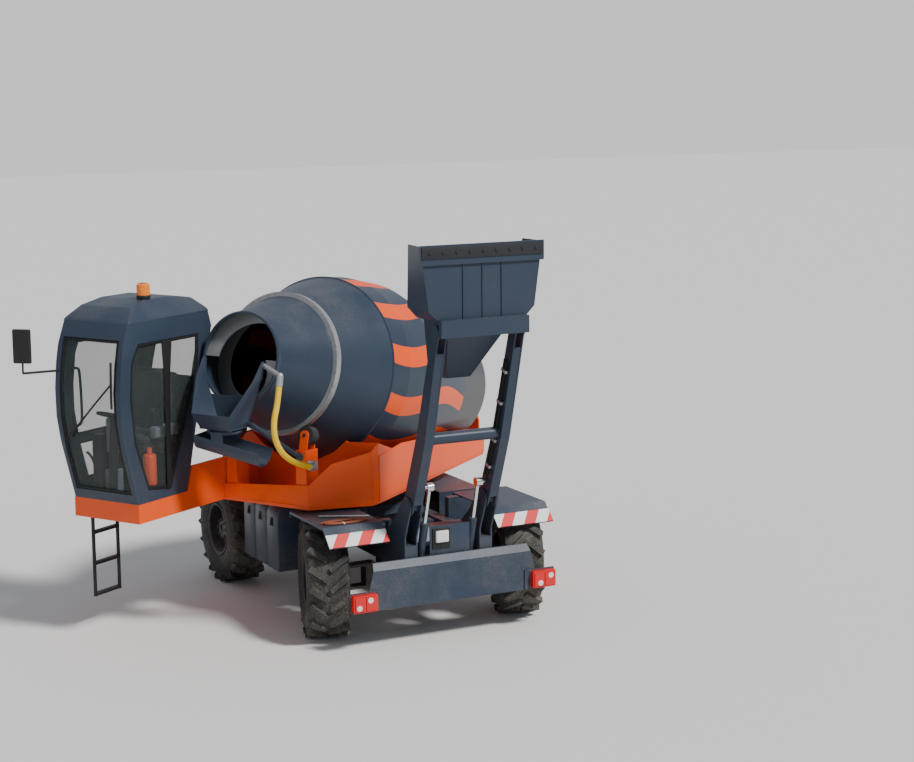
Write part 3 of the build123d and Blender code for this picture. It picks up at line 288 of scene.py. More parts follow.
def chromed():
    """Very smooth metal with fine streaks in its roughness."""
    m = plain_material("rod_chrome", (0.75, 0.75, 0.76), 0.12, 1.0)
    t = m.node_tree
    place = node(t, "TexCoord")
    streak = node(t, "TexNoise", {"Vector": place.outputs["Object"], "Scale": 90.0, "Detail": 3.0})
    rough = node(t, "MapRange", {"Value": streak.outputs["Fac"], "To Min": 0.06, "To Max": 0.26})
    t.links.new(rough.outputs["Result"], t.nodes["Principled BSDF"].inputs["Roughness"])
    return m


def moulded(name, color, roughness, scale=120.0, depth=0.15):
    """Rubber, cloth or plastic: an even colour, a little cloudy, with a fine grain."""
    m = bpy.data.materials.new(name)
    m.use_nodes = True
    t = m.node_tree
    b = t.nodes["Principled BSDF"]
    b.inputs["Roughness"].default_value = roughness
    place = node(t, "TexCoord")
    cloud = node(t, "TexNoise", {"Vector": place.outputs["Object"], "Scale": 9.0, "Detail": 4.0})
    tone = node(t, "Mix", {0: cloud.outputs["Fac"], 6: (*[c * 0.82 for c in color], 1),
                           7: (*[min(1.0, c * 1.15) for c in color], 1)}, data_type="RGBA")
    grain = node(t, "TexNoise", {"Vector": place.outputs["Object"], "Scale": scale, "Detail": 2.0})
    bump = node(t, "Bump", {"Height": grain.outputs["Fac"], "Strength": depth, "Distance": 0.002})
    t.links.new(tone.outputs[2], b.inputs["Base Color"])
    t.links.new(bump.outputs["Normal"], b.inputs["Normal"])
    return m


galvanised = galvanised_steel()
chrome = chromed()
# the tyres' pale film colour: mud, and painted light on their tops
MUD_AND_LIGHT_COLOR = (0.30, 0.27, 0.22, 1)
tyre_rubber = paint("tyre_rubber", (0.016, 0.016, 0.017), 0.72, 0.75, MUD_AND_LIGHT_COLOR, ripple=0.35)
hose_yellow = moulded("hose_yellow", (0.82, 0.52, 0.015), 0.42, 60.0)
seat_cloth = moulded("seat_cloth", (0.030, 0.030, 0.033), 0.9, 400.0, 0.4)
amber = plain_material("amber_lens", (0.90, 0.22, 0.01), 0.15)
mirror_glass = plain_material("mirror_glass", (0.60, 0.62, 0.64), 0.03, 1.0)
print("metals and rubbers made")

# %% [markdown]
# ## Glass
# The panes are clear with a faint grey-green tint. A low alpha keeps what stands behind them in
# sight, and the very smooth surface still mirrors the sky.

# %% Glass
glass = bpy.data.materials.new("cab_glass")
glass.use_nodes = True
pane = glass.node_tree.nodes["Principled BSDF"]
pane.inputs["Base Color"].default_value = (0.09, 0.11, 0.105, 1)
pane.inputs["Roughness"].default_value = 0.02
pane.inputs["IOR"].default_value = 1.45
pane.inputs["Alpha"].default_value = 0.20

# %% [markdown]
# ## The drum's stripes
# Twelve orange bands lie on the drum's middle, between its two welds. Seen along the drum, each
# band waves a little. The pattern needs two coordinates: the station along the drum's axis, and the
# angle round it. Dot products with the axis and with two directions across it give both, so the
# bands turn with the drum.

# %% The drum's paint with its bands
DRUM_TILT = math.radians(12.5)
MOUTH = on_upper(*MOUTH_AT)
ALONG = Vector((-math.cos(DRUM_TILT) * math.cos(SLEW_HEADING),
                -math.cos(DRUM_TILT) * math.sin(SLEW_HEADING), -math.sin(DRUM_TILT)))
ACROSS = Vector((-math.sin(SLEW_HEADING), math.cos(SLEW_HEADING), 0))
DOWN = ALONG.cross(ACROSS)
BANDS, BAND_SHARE = 12, 0.40                 # bands round the drum, and how much of a step each fills
BAND_FROM, BAND_TO = 1.215, 2.83             # metres behind the mouth
BAND_START = 13.05                           # degrees from the bottom toward the left
WAVE_MEAN, WAVE_DEPTH = 4.5, 5.0             # degrees
WAVE_AT, WAVE_LENGTH = 1.45, 1.75            # metres along the axis
TAIL_COLOR = (0.050, 0.052, 0.055, 1)        # the bare rear cone


def math_node(t, operation, a, b=None):
    """One Math node's result; each input is a number or a socket."""
    values = {0: a} if b is None else {0: a, 1: b}
    return node(t, "Math", values, operation=operation).outputs[0]


def drum_coordinates(t):
    """(station behind the mouth, angle in degrees) as sockets."""
    place = node(t, "TexCoord")
    rel = node(t, "VectorMath", {0: place.outputs["Object"], 1: MOUTH}, operation="SUBTRACT")
    station, down, across = [
        node(t, "VectorMath", {0: rel.outputs["Vector"], 1: d}, operation="DOT_PRODUCT").outputs["Value"]
        for d in (ALONG, DOWN, ACROSS)]
    angle = math_node(t, "ARCTAN2", across, down)
    return station, math_node(t, "MULTIPLY", angle, 180 / math.pi)


def banded_paint():
    """The drum's paint: waved bands on its middle and a bare rear cone."""
    m = paint("drum_paint", SLATE_COLOR, 0.30, 0.15)
    t = m.node_tree
    station, angle = drum_coordinates(t)
    phase = math_node(t, "MULTIPLY", math_node(t, "SUBTRACT", station, WAVE_AT), 2 * math.pi / WAVE_LENGTH)
    wave = math_node(t, "MULTIPLY", math_node(t, "COSINE", phase), -WAVE_DEPTH)
    turned = math_node(t, "SUBTRACT", math_node(t, "SUBTRACT", angle, BAND_START + WAVE_MEAN), wave)
    step = 360 / BANDS
    shifted = math_node(t, "FLOORED_MODULO", math_node(t, "ADD", turned, step / 2), step)
    fold = math_node(t, "SUBTRACT", shifted, step / 2)
    in_band = math_node(t, "LESS_THAN", math_node(t, "ABSOLUTE", fold), step * BAND_SHARE / 2)
    after = math_node(t, "GREATER_THAN", station, BAND_FROM)
    before = math_node(t, "LESS_THAN", station, BAND_TO)
    mask = math_node(t, "MULTIPLY", math_node(t, "MULTIPLY", in_band, after), before)
    banded = node(t, "Mix", {0: mask, 6: (*SLATE_COLOR, 1), 7: (*ORANGE_COLOR, 1)}, data_type="RGBA")
    tail = math_node(t, "GREATER_THAN", station, BAND_TO)
    whole = node(t, "Mix", {0: tail, 6: banded.outputs[2], 7: TAIL_COLOR}, data_type="RGBA")
    t.links.new(whole.outputs[2], t.nodes["film"].inputs[6])
    return m


drum_paint = banded_paint()
print("drum's mouth at", tuple(round(a, 3) for a in MOUTH), "bands", BANDS)

# %% [markdown]
# ## Marker boards and lamps
# The boards at the fenders carry slanting red and white stripes, made from the place across the
# machine plus a share of the height. A tail lamp is a red lens with two pale reflectors: spots
# around two points of each lamp.

# %% Striped boards and spotted lenses
STRIPE_STEP, STRIPE_LEAN = 0.25, 0.95         # metres for a red and a white stripe, and their slant
LEFT_BOARD, RIGHT_BOARD = 1.156, -0.561       # each board's left edge from the slewing axis
BOARD_FOOT_Z, FIRST_STRIPE = 0.965, -0.02     # the boards' lower edge, and where the stripes begin


def striped_board():
    """Slanting red and white stripes, counted from each board's left edge."""
    m = bpy.data.materials.new("board_stripes")
    m.use_nodes = True
    t = m.node_tree
    b = t.nodes["Principled BSDF"]
    b.inputs["Roughness"].default_value = 0.35
    place = node(t, "TexCoord")
    xyz = node(t, "SeparateXYZ", {"Vector": place.outputs["Object"]})
    across = math_node(t, "ADD", xyz.outputs["Y"], -SLEW_AXIS.y)
    lean = math_node(t, "MULTIPLY", math_node(t, "SUBTRACT", xyz.outputs["Z"], BOARD_FOOT_Z), STRIPE_LEAN)
    right_side = math_node(t, "LESS_THAN", across, 0.0)
    to_right = math_node(t, "MULTIPLY", right_side, RIGHT_BOARD - LEFT_BOARD)
    edge = math_node(t, "ADD", to_right, LEFT_BOARD)
    along = math_node(t, "ADD", math_node(t, "SUBTRACT", edge, across), FIRST_STRIPE)
    slant = math_node(t, "SUBTRACT", along, lean)
    white = math_node(t, "GREATER_THAN", math_node(t, "FLOORED_MODULO", slant, STRIPE_STEP), STRIPE_STEP / 2)
    cells = node(t, "TexVoronoi", {"Vector": place.outputs["Object"], "Scale": 220.0})
    color = node(t, "Mix", {0: white, 6: (0.72, 0.022, 0.022, 1), 7: (0.80, 0.80, 0.78, 1)}, data_type="RGBA")
    bump = node(t, "Bump", {"Height": cells.outputs["Distance"], "Strength": 0.12, "Distance": 0.002})
    t.links.new(color.outputs[2], b.inputs["Base Color"])
    t.links.new(bump.outputs["Normal"], b.inputs["Normal"])
    return m


SPOTS = [(-2.27, 0.875, 0.515, 0.028), (-2.27, 0.985, 0.452, 0.028),
         (-2.27, -0.875, 0.452, 0.028), (-2.27, -0.985, 0.515, 0.028)]   # place from the slewing axis, radius


def spotted_lens():
    """A ribbed red lens with two pale reflectors on each lamp."""
    m = plain_material("lens_red", (0.62, 0.012, 0.012), 0.16)
    t = m.node_tree
    place = node(t, "TexCoord")
    spots = None
    for x, y, z, radius in SPOTS:
        away = node(t, "VectorMath", {0: place.outputs["Object"], 1: on_chassis(x, y, z)},
                    operation="DISTANCE")
        spot = math_node(t, "LESS_THAN", away.outputs["Value"], radius)
        spots = spot if spots is None else math_node(t, "MAXIMUM", spots, spot)
    ribs = node(t, "TexWave", {"Vector": place.outputs["Object"], "Scale": 40.0}, bands_direction="Y")
    color = node(t, "Mix", {0: spots, 6: (0.66, 0.010, 0.010, 1), 7: (0.80, 0.70, 0.68, 1)}, data_type="RGBA")
    bump = node(t, "Bump", {"Height": ribs.outputs["Fac"], "Strength": 0.2, "Distance": 0.002})
    b = t.nodes["Principled BSDF"]
    t.links.new(color.outputs[2], b.inputs["Base Color"])
    t.links.new(bump.outputs["Normal"], b.inputs["Normal"])
    return m


finishes = {
    "orange_paint": orange, "slate_paint": slate, "dark_metal": dark_metal, "dark_plastic": black_plastic,
    "galvanised": galvanised, "rod_chrome": chrome, "tyre": tyre_rubber, "hose": hose_yellow,
    "lens": spotted_lens(), "glass": glass, "board": striped_board(),
}
special = {"drum_shell": drum_paint, "drum_blades": grey_steel}
for row in frame["record"]["subparts"]:
    piece = nodes[row["node"]]
    finish = special.get(row["node"], finishes[row["material_slot"]])
    if not piece.material_slots:
        piece.data.materials.append(finish)
    for s in piece.material_slots:
        s.link = "OBJECT"
        s.material = finish

# %% [markdown]
# ## Helpers for new pieces
# A new piece starts as a primitive of about its size and is then shaped in edit mode. When it is
# done, its place and turn go into its mesh, so that its object sits at the origin like the frame's
# own nodes, and it is given its finish and the body that it moves with.

# %% Starting and ending a piece
UPPER_TURN = (0, 0, SLEW_HEADING)


def only(piece):
    """Select this object and nothing else."""
    bpy.ops.object.select_all(action="DESELECT")
    piece.select_set(True)
    bpy.context.view_layer.objects.active = piece


def start(kind, **options):
    """One new primitive, alone in the selection."""
    bpy.ops.object.select_all(action="DESELECT")
    getattr(bpy.ops.mesh, "primitive_" + kind + "_add")(**options)
    return bpy.context.object


def block(size, at, turn=(0, 0, 0)):
    """A block of that size about its middle."""
    piece = start("cube", size=1, location=at, rotation=turn)
    piece.scale = size
    bpy.ops.object.transform_apply(location=False, rotation=False, scale=True)
    return piece


def pick(piece, test):
    """In edit mode, select the faces whose direction passes the test."""
    bpy.ops.mesh.select_mode(type="FACE")
    bpy.ops.mesh.select_all(action="DESELECT")
    mesh = bmesh.from_edit_mesh(piece.data)
    mesh.normal_update()
    for face in mesh.faces:
        if test(face.normal):
            face.select_set(True)
    bmesh.update_edit_mesh(piece.data)


def modify(piece, kind, **settings):
    """Add a modifier and apply it."""
    only(piece)
    m = piece.modifiers.new(kind.lower(), kind)
    for key, value in settings.items():
        setattr(m, key, value)
    bpy.ops.object.modifier_apply(modifier=m.name)


def done(piece, name, body, material, angle=35, replaces=()):
    """Put the place into the mesh, smooth, dress, and let the piece ride on its body."""
    only(piece)
    bpy.ops.object.transform_apply(location=True, rotation=True, scale=True)
    bpy.ops.object.shade_smooth_by_angle(angle=math.radians(angle))
    piece.name = name
    piece.data.materials.clear()
    piece.data.materials.append(material)
    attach(piece, body)
    if replaces:
        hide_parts(*replaces)
    print(name, len(piece.data.polygons), "faces")


def tube(points, radius, sides=4, order=3):
    """A bent round rod along these places of the frame, as a mesh."""
    data = bpy.data.curves.new("tube", "CURVE")
    data.dimensions = "3D"
    line = data.splines.new("NURBS")
    line.points.add(len(points) - 1)
    for p, co in zip(line.points, points):
        p.co = (*co, 1)
    line.order_u = order
    line.use_endpoint_u = True
    data.bevel_depth = radius
    data.bevel_resolution = sides
    data.use_fill_caps = True
    piece = bpy.data.objects.new("tube", data)
    bpy.context.scene.collection.objects.link(piece)
    only(piece)
    bpy.ops.object.convert(target="MESH")
    return bpy.context.object


def merged(pieces):
    """Several finished meshes as one object."""
    for p in pieces:
        only(p)
        bpy.ops.object.transform_apply(location=True, rotation=True, scale=True)
    for p in pieces:
        p.select_set(True)
    bpy.context.view_layer.objects.active = pieces[0]
    bpy.ops.object.join()
    return bpy.context.object


def slab(size, at, bevel, segments=2, turn=(0, 0, 0)):
    """A block of that size about its middle, with its edges rounded."""
    piece = block(size, at, turn)
    modify(piece, "BEVEL", width=bevel, segments=segments)
    return piece


# %% [markdown]
# ## The water hose
# A yellow hose runs from the elbow beside the hopper, down and back to a clamp on the roller's
# post. It is stiff, so its line is one smooth curve: a NURBS spline with the route's points as its
# control points, and a round section.

# %% The water hose
HOSE_D = 0.056
HOSE_POINTS = [(1.990, 0.560, 2.400), (2.020, 0.560, 2.240), (2.085, 0.560, 2.090), (2.075, 0.560, 1.930),
               (1.985, 0.560, 1.790), (1.840, 0.555, 1.690), (1.680, 0.548, 1.620), (1.520, 0.540, 1.570)]
route = bpy.data.curves.new("water_line", "CURVE")
route.dimensions = "3D"
spline = route.splines.new("NURBS")
spline.points.add(len(HOSE_POINTS) - 1)
for p, at in zip(spline.points, HOSE_POINTS):
    p.co = (*on_upper(*at), 1)
spline.order_u = 3
spline.use_endpoint_u = True
route.resolution_u = 12
route.bevel_depth = HOSE_D / 2
route.bevel_resolution = 6
route.use_fill_caps = True
hose = bpy.data.objects.new("water_line", route)
bpy.context.scene.collection.objects.link(hose)
hose.data.materials.append(hose_yellow)
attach(hose, "upper")
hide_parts("water_hose")
print("hose points", len(HOSE_POINTS))

# %% [markdown]
# ## Working on copies of the frame's plates
# Some sheet-metal pieces want rounded edges or a cut that the plain frame lacks. A copy of the
# node's mesh is merged, its flat faces are made whole again, and the copy then stands for the node.

# %% A workable copy
def copy_of(name):
    """A copy of a node's mesh, its triangles merged into whole flat faces."""
    piece = bpy.data.objects.new(name + "_copy", nodes[name].data.copy())
    bpy.context.scene.collection.objects.link(piece)
    only(piece)
    bpy.ops.object.mode_set(mode="EDIT")
    bpy.ops.mesh.select_all(action="SELECT")
    bpy.ops.mesh.remove_doubles(threshold=0.00002)
    bpy.ops.mesh.dissolve_limited(angle_limit=math.radians(0.6))
    bpy.ops.object.mode_set(mode="OBJECT")
    return piece


# %% [markdown]
# ## The feed hopper
# The hopper is a scoop: two wings stand beside the drum's mouth, and the front is cut low so that
# the loader's funnel can drop its load in. One slanted cut through a copy of the plain hopper gives
# that line, with its edge closed.

# %% The hopper's slanted front
scoop = copy_of("hopper")
bpy.ops.object.mode_set(mode="EDIT")
bpy.ops.mesh.select_all(action="SELECT")
CUT_LOW, CUT_HIGH = (2.300, 2.120), (1.960, 2.590)   # u and z of the slanted line's two ends
run = Vector((CUT_LOW[0] - CUT_HIGH[0], 0, CUT_LOW[1] - CUT_HIGH[1])).normalized()
facing = Matrix.Rotation(SLEW_HEADING, 3, "Z") @ Vector((-run.z, 0, run.x))
bpy.ops.mesh.bisect(plane_co=on_upper(CUT_LOW[0], 0, CUT_LOW[1]), plane_no=facing,
                    use_fill=True, clear_outer=True)
bpy.ops.object.mode_set(mode="OBJECT")
modify(scoop, "BEVEL", width=0.006, segments=2, limit_method="ANGLE", angle_limit=math.radians(40))
done(scoop, "feed_scoop", "upper", slate, replaces=["hopper"])

# %% [markdown]
# ## The cab's shell
# The real cab is a welded tube frame under smooth skins, so its roof and its pillars turn in soft
# radii. On a copy of the shell, the long outer edges are picked by their place and bevelled: widely
# along the roof, less along the pillars.

# %% The cab with soft edges
shell = copy_of("cab_shell")
CAB_LEFT, CAB_RIGHT, ROOF_Z = -0.486, -1.260, 2.98
CAB_MID = (CAB_LEFT + CAB_RIGHT) / 2
CAB_CENTRE = on_upper(2.3, CAB_MID, 2.3)
bpy.ops.object.mode_set(mode="EDIT")
bpy.ops.mesh.select_mode(type="EDGE")


def outer_edges(piece, low, high, least):
    """Select the cab's outer edges between two heights where its faces turn by more than least degrees."""
    mesh = bmesh.from_edit_mesh(piece.data)
    mesh.normal_update()
    found = 0
    for e in mesh.edges:
        e.select_set(False)
    for e in mesh.edges:
        if len(e.link_faces) != 2 or not e.is_convex:
            continue
        z = (e.verts[0].co.z + e.verts[1].co.z) / 2
        outward = all((f.calc_center_median() - CAB_CENTRE).dot(f.normal) > 0 for f in e.link_faces)
        wide = all(f.calc_area() > 0.02 for f in e.link_faces)
        angle = math.degrees(e.calc_face_angle(0))
        if outward and wide and low < z < high and angle > least:
            e.select_set(True)
            found += 1
    mesh.select_flush_mode()
    bmesh.update_edit_mesh(piece.data)
    return found


print("roof edges", outer_edges(shell, ROOF_Z, 3.3, 12))
bpy.ops.mesh.bevel(offset=0.11, segments=6, clamp_overlap=True)
print("pillar edges", outer_edges(shell, 1.36, ROOF_Z - 0.02, 40))
bpy.ops.mesh.bevel(offset=0.030, segments=4, clamp_overlap=True)
bpy.ops.object.mode_set(mode="OBJECT")
done(shell, "cab_skin", "upper", slate, angle=52, replaces=["cab_shell"])

# %% [markdown]
# ## Window seals
# Each pane sits in a black rubber seal. The seal is made from the pane itself: its outer faces are
# kept, inset by the seal's width, the middle is deleted, and the strip that is left gets its
# thickness.

# %% Rubber seals round the panes
def seal_round(name, body, width, tag):
    """A rubber strip along the edge of each pane of that node."""
    strip = copy_of(name)
    bpy.ops.object.mode_set(mode="EDIT")
    mesh = bmesh.from_edit_mesh(strip.data)
    mesh.normal_update()
    away = [f for f in mesh.faces
            if f.calc_area() <= 0.01
            or (f.calc_center_median() - CAB_CENTRE).normalized().dot(f.normal) <= 0.35]
    bmesh.ops.delete(mesh, geom=away, context="FACES")
    bmesh.update_edit_mesh(strip.data)
    bpy.ops.mesh.select_all(action="SELECT")
    bpy.ops.mesh.inset(thickness=width, use_boundary=True, use_even_offset=True)
    bpy.ops.mesh.delete(type="FACE")
    bpy.ops.object.mode_set(mode="OBJECT")
    modify(strip, "SOLIDIFY", thickness=0.012, offset=0.5)
    modify(strip, "BEVEL", width=0.003, segments=2, limit_method="ANGLE", angle_limit=math.radians(50))
    done(strip, tag, body, black_rubber)


seal_round("cab_glass", "upper", 0.032, "window_seals")
seal_round("door_glass", "door", 0.024, "door_seals")

# %% [markdown]
# ## Small things on the cab
# A long wiper on the windscreen, grab rails inside it, a beacon with a ribbed amber lens, the
# mirror's glass, three grey consoles, and two levers with round knobs. Rods are tubes along a few
# points.

# %% Wiper, rails, beacon, mirror, console
def upper_tube(points, radius):
    """A bent round rod along (u, v, z) places of the upper works."""
    return tube([on_upper(*p) for p in points], radius)


arm = upper_tube([(2.965, -1.075, 1.965), (2.975, -0.90, 2.14), (2.975, -0.72, 2.32),
                  (2.965, -0.585, 2.455)], 0.009)
blade = upper_tube([(2.958, -0.585, 2.24), (2.962, -0.583, 2.45), (2.952, -0.582, 2.66)], 0.011)
hub = start("cylinder", vertices=24, radius=0.028, depth=0.035, location=on_upper(2.952, -1.075, 1.965),
            rotation=(0, math.radians(90), SLEW_HEADING))
modify(hub, "BEVEL", width=0.006, segments=3)
done(merged([arm, blade, hub]), "wiper", "upper", black_plastic)

rails = [upper_tube([(2.86, -1.11, 2.56), (2.80, -1.11, 2.56), (2.78, -1.11, 2.50),
                     (2.78, -1.10, 2.10), (2.80, -1.10, 2.03), (2.84, -1.10, 2.03)], 0.013),
         upper_tube([(2.74, -1.10, 1.76), (2.69, -1.09, 1.74), (2.64, -1.06, 1.52),
                     (2.68, -1.06, 1.49)], 0.012)]
done(merged(rails), "grab_rails", "upper", black_plastic)

BEACON = (2.380, CAB_LEFT - 0.180)
foot = start("cylinder", vertices=40, radius=0.064, depth=0.034, location=on_upper(*BEACON, 3.187))
modify(foot, "BEVEL", width=0.008, segments=3, limit_method="ANGLE")
done(foot, "beacon_foot", "upper", black_plastic)
lens_piece = start("cylinder", vertices=48, radius=0.060, depth=0.095, location=on_upper(*BEACON, 3.2515))
bpy.ops.object.mode_set(mode="EDIT")
pick(lens_piece, lambda normal: normal.z > 0.9)
bpy.ops.mesh.inset(thickness=0.014)
bpy.ops.transform.translate(value=(0, 0, 0.014))
pick(lens_piece, lambda normal: abs(normal.z) < 0.2)
bpy.ops.mesh.inset(thickness=0.0012, depth=0.0015, use_individual=True)
bpy.ops.object.mode_set(mode="OBJECT")
modify(lens_piece, "BEVEL", width=0.0012, segments=2, limit_method="ANGLE", angle_limit=math.radians(30))
done(lens_piece, "beacon_lens", "upper", amber)

MIRROR_TURN = math.radians(20)
mirror = slab((0.004, 0.148, 0.286), on_upper(3.29 - 0.0225, -1.32 - 0.008, 2.80), 0.0015,
              turn=(0, 0, SLEW_HEADING + MIRROR_TURN))
done(mirror, "mirror_face", "upper", mirror_glass)

CONSOLES = [  # size, and place as (u, v, z)
    ((0.150, 0.120, 0.330), (2.560, -0.900, 1.915)),
    ((0.140, 0.120, 0.250), (2.600, -0.900, 1.480)),
    ((0.320, 0.090, 0.110), (2.230, -0.600, 1.930)),
]
columns = [slab(size, on_upper(*at), 0.022, 4, UPPER_TURN) for size, at in CONSOLES]
stem = block((0.100, 0.090, 0.200), on_upper(2.580, -0.900, 1.68), UPPER_TURN)
LEVER_STEP = 0.07
stalks = [upper_tube([(2.26 + n * LEVER_STEP, -0.60, 1.98), (2.27 + n * LEVER_STEP, -0.60, 2.05),
                      (2.30 + n * LEVER_STEP, -0.61, 2.13)], 0.010) for n in range(2)]
knobs = [start("uv_sphere", segments=20, ring_count=12, radius=0.024,
               location=on_upper(2.30 + n * LEVER_STEP, -0.61, 2.14)) for n in range(2)]
grey_plastic = moulded("grey_plastic", (0.16, 0.18, 0.21), 0.5, 200.0, 0.1)
done(merged(columns), "consoles", "upper", grey_plastic)
done(merged([stem] + stalks + knobs), "levers", "upper", black_plastic)

# %% [markdown]
# ## The seat
# The driver's seat has a thick foam cushion and a tall back, both crowned, with a seam round them.
# A block is subdivided, its middle is pushed out and its sides are drawn in between the corners,
# then a subdivision surface makes it soft.

# %% Padded cushion and back
def cushion(name, size, at, turn, crown):
    """A crowned pad of that size about its middle, with a seam groove round its rim."""
    pad = block(size, at, turn)
    bpy.ops.object.mode_set(mode="EDIT")
    bpy.ops.mesh.select_all(action="SELECT")
    bpy.ops.mesh.subdivide(number_cuts=7)
    mesh = bmesh.from_edit_mesh(pad.data)
    half = Vector(size) / 2
    for vert in mesh.verts:
        x, y, z = (vert.co[i] / half[i] for i in range(3))
        vert.co.z += crown * (1 - x * x) * (1 - y * y) * (1 if z > 0 else 0.25)
        vert.co.x *= 1 - 0.05 * (1 - y * y) * abs(x)
        vert.co.y *= 1 - 0.05 * (1 - x * x) * abs(y)
        if abs(z) < 0.15 and max(abs(x), abs(y)) > 0.98:
            vert.co.x *= 0.975
            vert.co.y *= 0.975
    bmesh.update_edit_mesh(pad.data)
    bpy.ops.object.mode_set(mode="OBJECT")
    modify(pad, "SUBSURF", levels=2, render_levels=2)
    done(pad, name, "upper", seat_cloth, angle=60)


CROWN, FOAM_FILL = 0.030, 0.8
FLOOR_Z, SEAT_HEIGHT = 1.37, 0.45
BACK_TURN = (0, math.radians(-80), SLEW_HEADING)
cushion("seat_cushion", (0.46, 0.49, 0.13), on_upper(2.235, CAB_MID, FLOOR_Z + SEAT_HEIGHT), UPPER_TURN,
        CROWN)
cushion("seat_back", (0.66, 0.47, 0.13), on_upper(2.085, CAB_MID, 2.16), BACK_TURN, CROWN)

# %% [markdown]
# ## The cradle's corner
# Under the drum the cradle closes toward the hopper with folded plates that stand on the deck's
# slanted edge. A plate is a filled ring of corners that gets its thickness.

# %% Folded plates of the cradle
def plate(corners, thickness):
    """A flat plate through these corners."""
    piece = start("circle", vertices=len(corners), fill_type="NGON")
    bpy.ops.object.mode_set(mode="EDIT")
    mesh = bmesh.from_edit_mesh(piece.data)
    mesh.verts.ensure_lookup_table()
    for vert, corner in zip(mesh.verts, corners):
        vert.co = corner
    bmesh.update_edit_mesh(piece.data)
    bpy.ops.object.mode_set(mode="OBJECT")
    modify(piece, "SOLIDIFY", thickness=thickness, offset=0)
    return piece


DECK = 1.180
FOLDS = [  # each plate's corners as (u, v, z)
    [(1.055, 0.920, DECK), (1.345, 0.662, DECK), (1.325, 0.650, 1.57), (1.045, 0.905, 1.66)],
    [(1.345, 0.662, DECK), (1.510, 0.515, DECK), (1.490, 0.500, 1.38), (1.325, 0.650, 1.57)],
    [(1.510, 0.515, DECK), (1.510, -0.486, DECK), (1.490, -0.486, 1.30), (1.490, 0.500, 1.38)],
    [(0.952, 0.560, 1.712), (0.952, 0.928, 1.60), (0.952, 0.928, 1.735)],
    [(0.952, 0.928, 1.60), (0.952, 0.928, 1.735), (0.660, 0.886, 1.632)],
    [(0.952, 0.928, 1.735), (1.045, 0.905, 1.66), (1.055, 0.920, DECK), (0.952, 0.928, DECK)],
]
folds = merged([plate([on_upper(*corner) for corner in corners], 0.008) for corners in FOLDS])
done(folds, "cradle_folds", "upper", orange, angle=20)

# %% [markdown]
# ## Side boxes and what lies on the fender
# The boxes are a little taller than the plain ones: a copy is stretched from its lower inner corner.
# A pipe and a hank of hose with a white tie lie on the left fender, as in the photograph.

# %% Taller boxes, latches, pipe and hank
boxes = copy_of("side_boxes")
bpy.ops.object.mode_set(mode="EDIT")
bpy.ops.mesh.select_all(action="SELECT")
bpy.ops.transform.resize(value=(1, 1.0625, 1.255), center_override=on_chassis(-0.300, 0.470, 0.460))
bpy.ops.object.mode_set(mode="OBJECT")
modify(boxes, "BEVEL", width=0.006, segments=2, limit_method="ANGLE", angle_limit=math.radians(50))
done(boxes, "tall_boxes", "chassis", slate, replaces=["side_boxes"])

latches = []
for x in (-0.600, -0.300, 0.0):
    latches.append(slab((0.050, 0.010, 0.085), on_chassis(x, 1.153, 0.930), 0.004))
    latches.append(slab((0.018, 0.014, 0.060), on_chassis(x, 1.162, 0.925), 0.004,
                        turn=(math.radians(8), 0, 0)))
done(merged(latches), "box_latches", "chassis", black_plastic)

PIPE_Z, HANK_Z, TIE_Z = 1.1363, 1.1355, 1.1365       # on the fender and under the cradle's sweep
pipe = tube([on_chassis(-1.450, 1.020, PIPE_Z), on_chassis(-1.660, 0.600, PIPE_Z)], 0.0095,
            sides=6, order=2)
collar = tube([on_chassis(-1.455, 1.010, PIPE_Z), on_chassis(-1.470, 0.980, PIPE_Z)], 0.0110,
              sides=6, order=2)
done(merged([pipe, collar]), "spare_pipe", "chassis", galvanised)

HANK_AT, HANK_LONG, HANK_WIDE = (-1.745, 0.880), 0.240, 0.085
HANK_TURNS, HANK_STEPS, HANK_PITCH = 4, 12, 0.020    # turns, points a turn, and how far each lies inside
hank_points = []
for n in range(HANK_TURNS * HANK_STEPS + 1):
    a = 2 * math.pi * n / HANK_STEPS
    inward = HANK_PITCH * n / HANK_STEPS
    hank_points.append(on_chassis(HANK_AT[0] + (HANK_WIDE - inward * 0.6) * math.sin(a),
                                  HANK_AT[1] + (HANK_LONG - inward) * math.cos(a), HANK_Z))
hank_rubber = moulded("hank_rubber", (0.26, 0.065, 0.028), 0.55, 160.0, 0.15)
done(tube(hank_points, 0.0095, order=4), "hose_hank", "chassis", hank_rubber)
tie = start("torus", major_radius=0.034, minor_radius=0.005,
            location=on_chassis(HANK_AT[0] - HANK_WIDE + 0.022, 0.930, TIE_Z),
            rotation=(math.radians(90), 0, 0))
tie.scale.y = 0.30
white_nylon = moulded("white_nylon", (0.72, 0.72, 0.70), 0.45, 90.0, 0.05)
done(tie, "hank_tie", "chassis", white_nylon)

# %% [markdown]
# ## Rear cross plate
# Between the towers a plate carries the number lamp, a pale block on a black backing.

# %% Cross plate and its pale block
done(slab((0.010, 0.410, 0.270), on_chassis(-2.120, 0, 0.950), 0.003),
     "rear_plate", "chassis", slate)
done(slab((0.014, 0.180, 0.190), on_chassis(-2.131, 0.090, 0.965), 0.004),
     "lamp_backing", "chassis", black_plastic)
done(slab((0.030, 0.130, 0.110), on_chassis(-2.150, 0.090, 0.985), 0.012, 3),
     "number_lamp", "chassis", white_nylon)

# %% [markdown]
# ## Inside the cab and on its left side
# A dark post splits the left side window, dark trim covers the rear wall and the ceiling, and a red
# extinguisher stands by the seat. They make the cab read as dark inside.

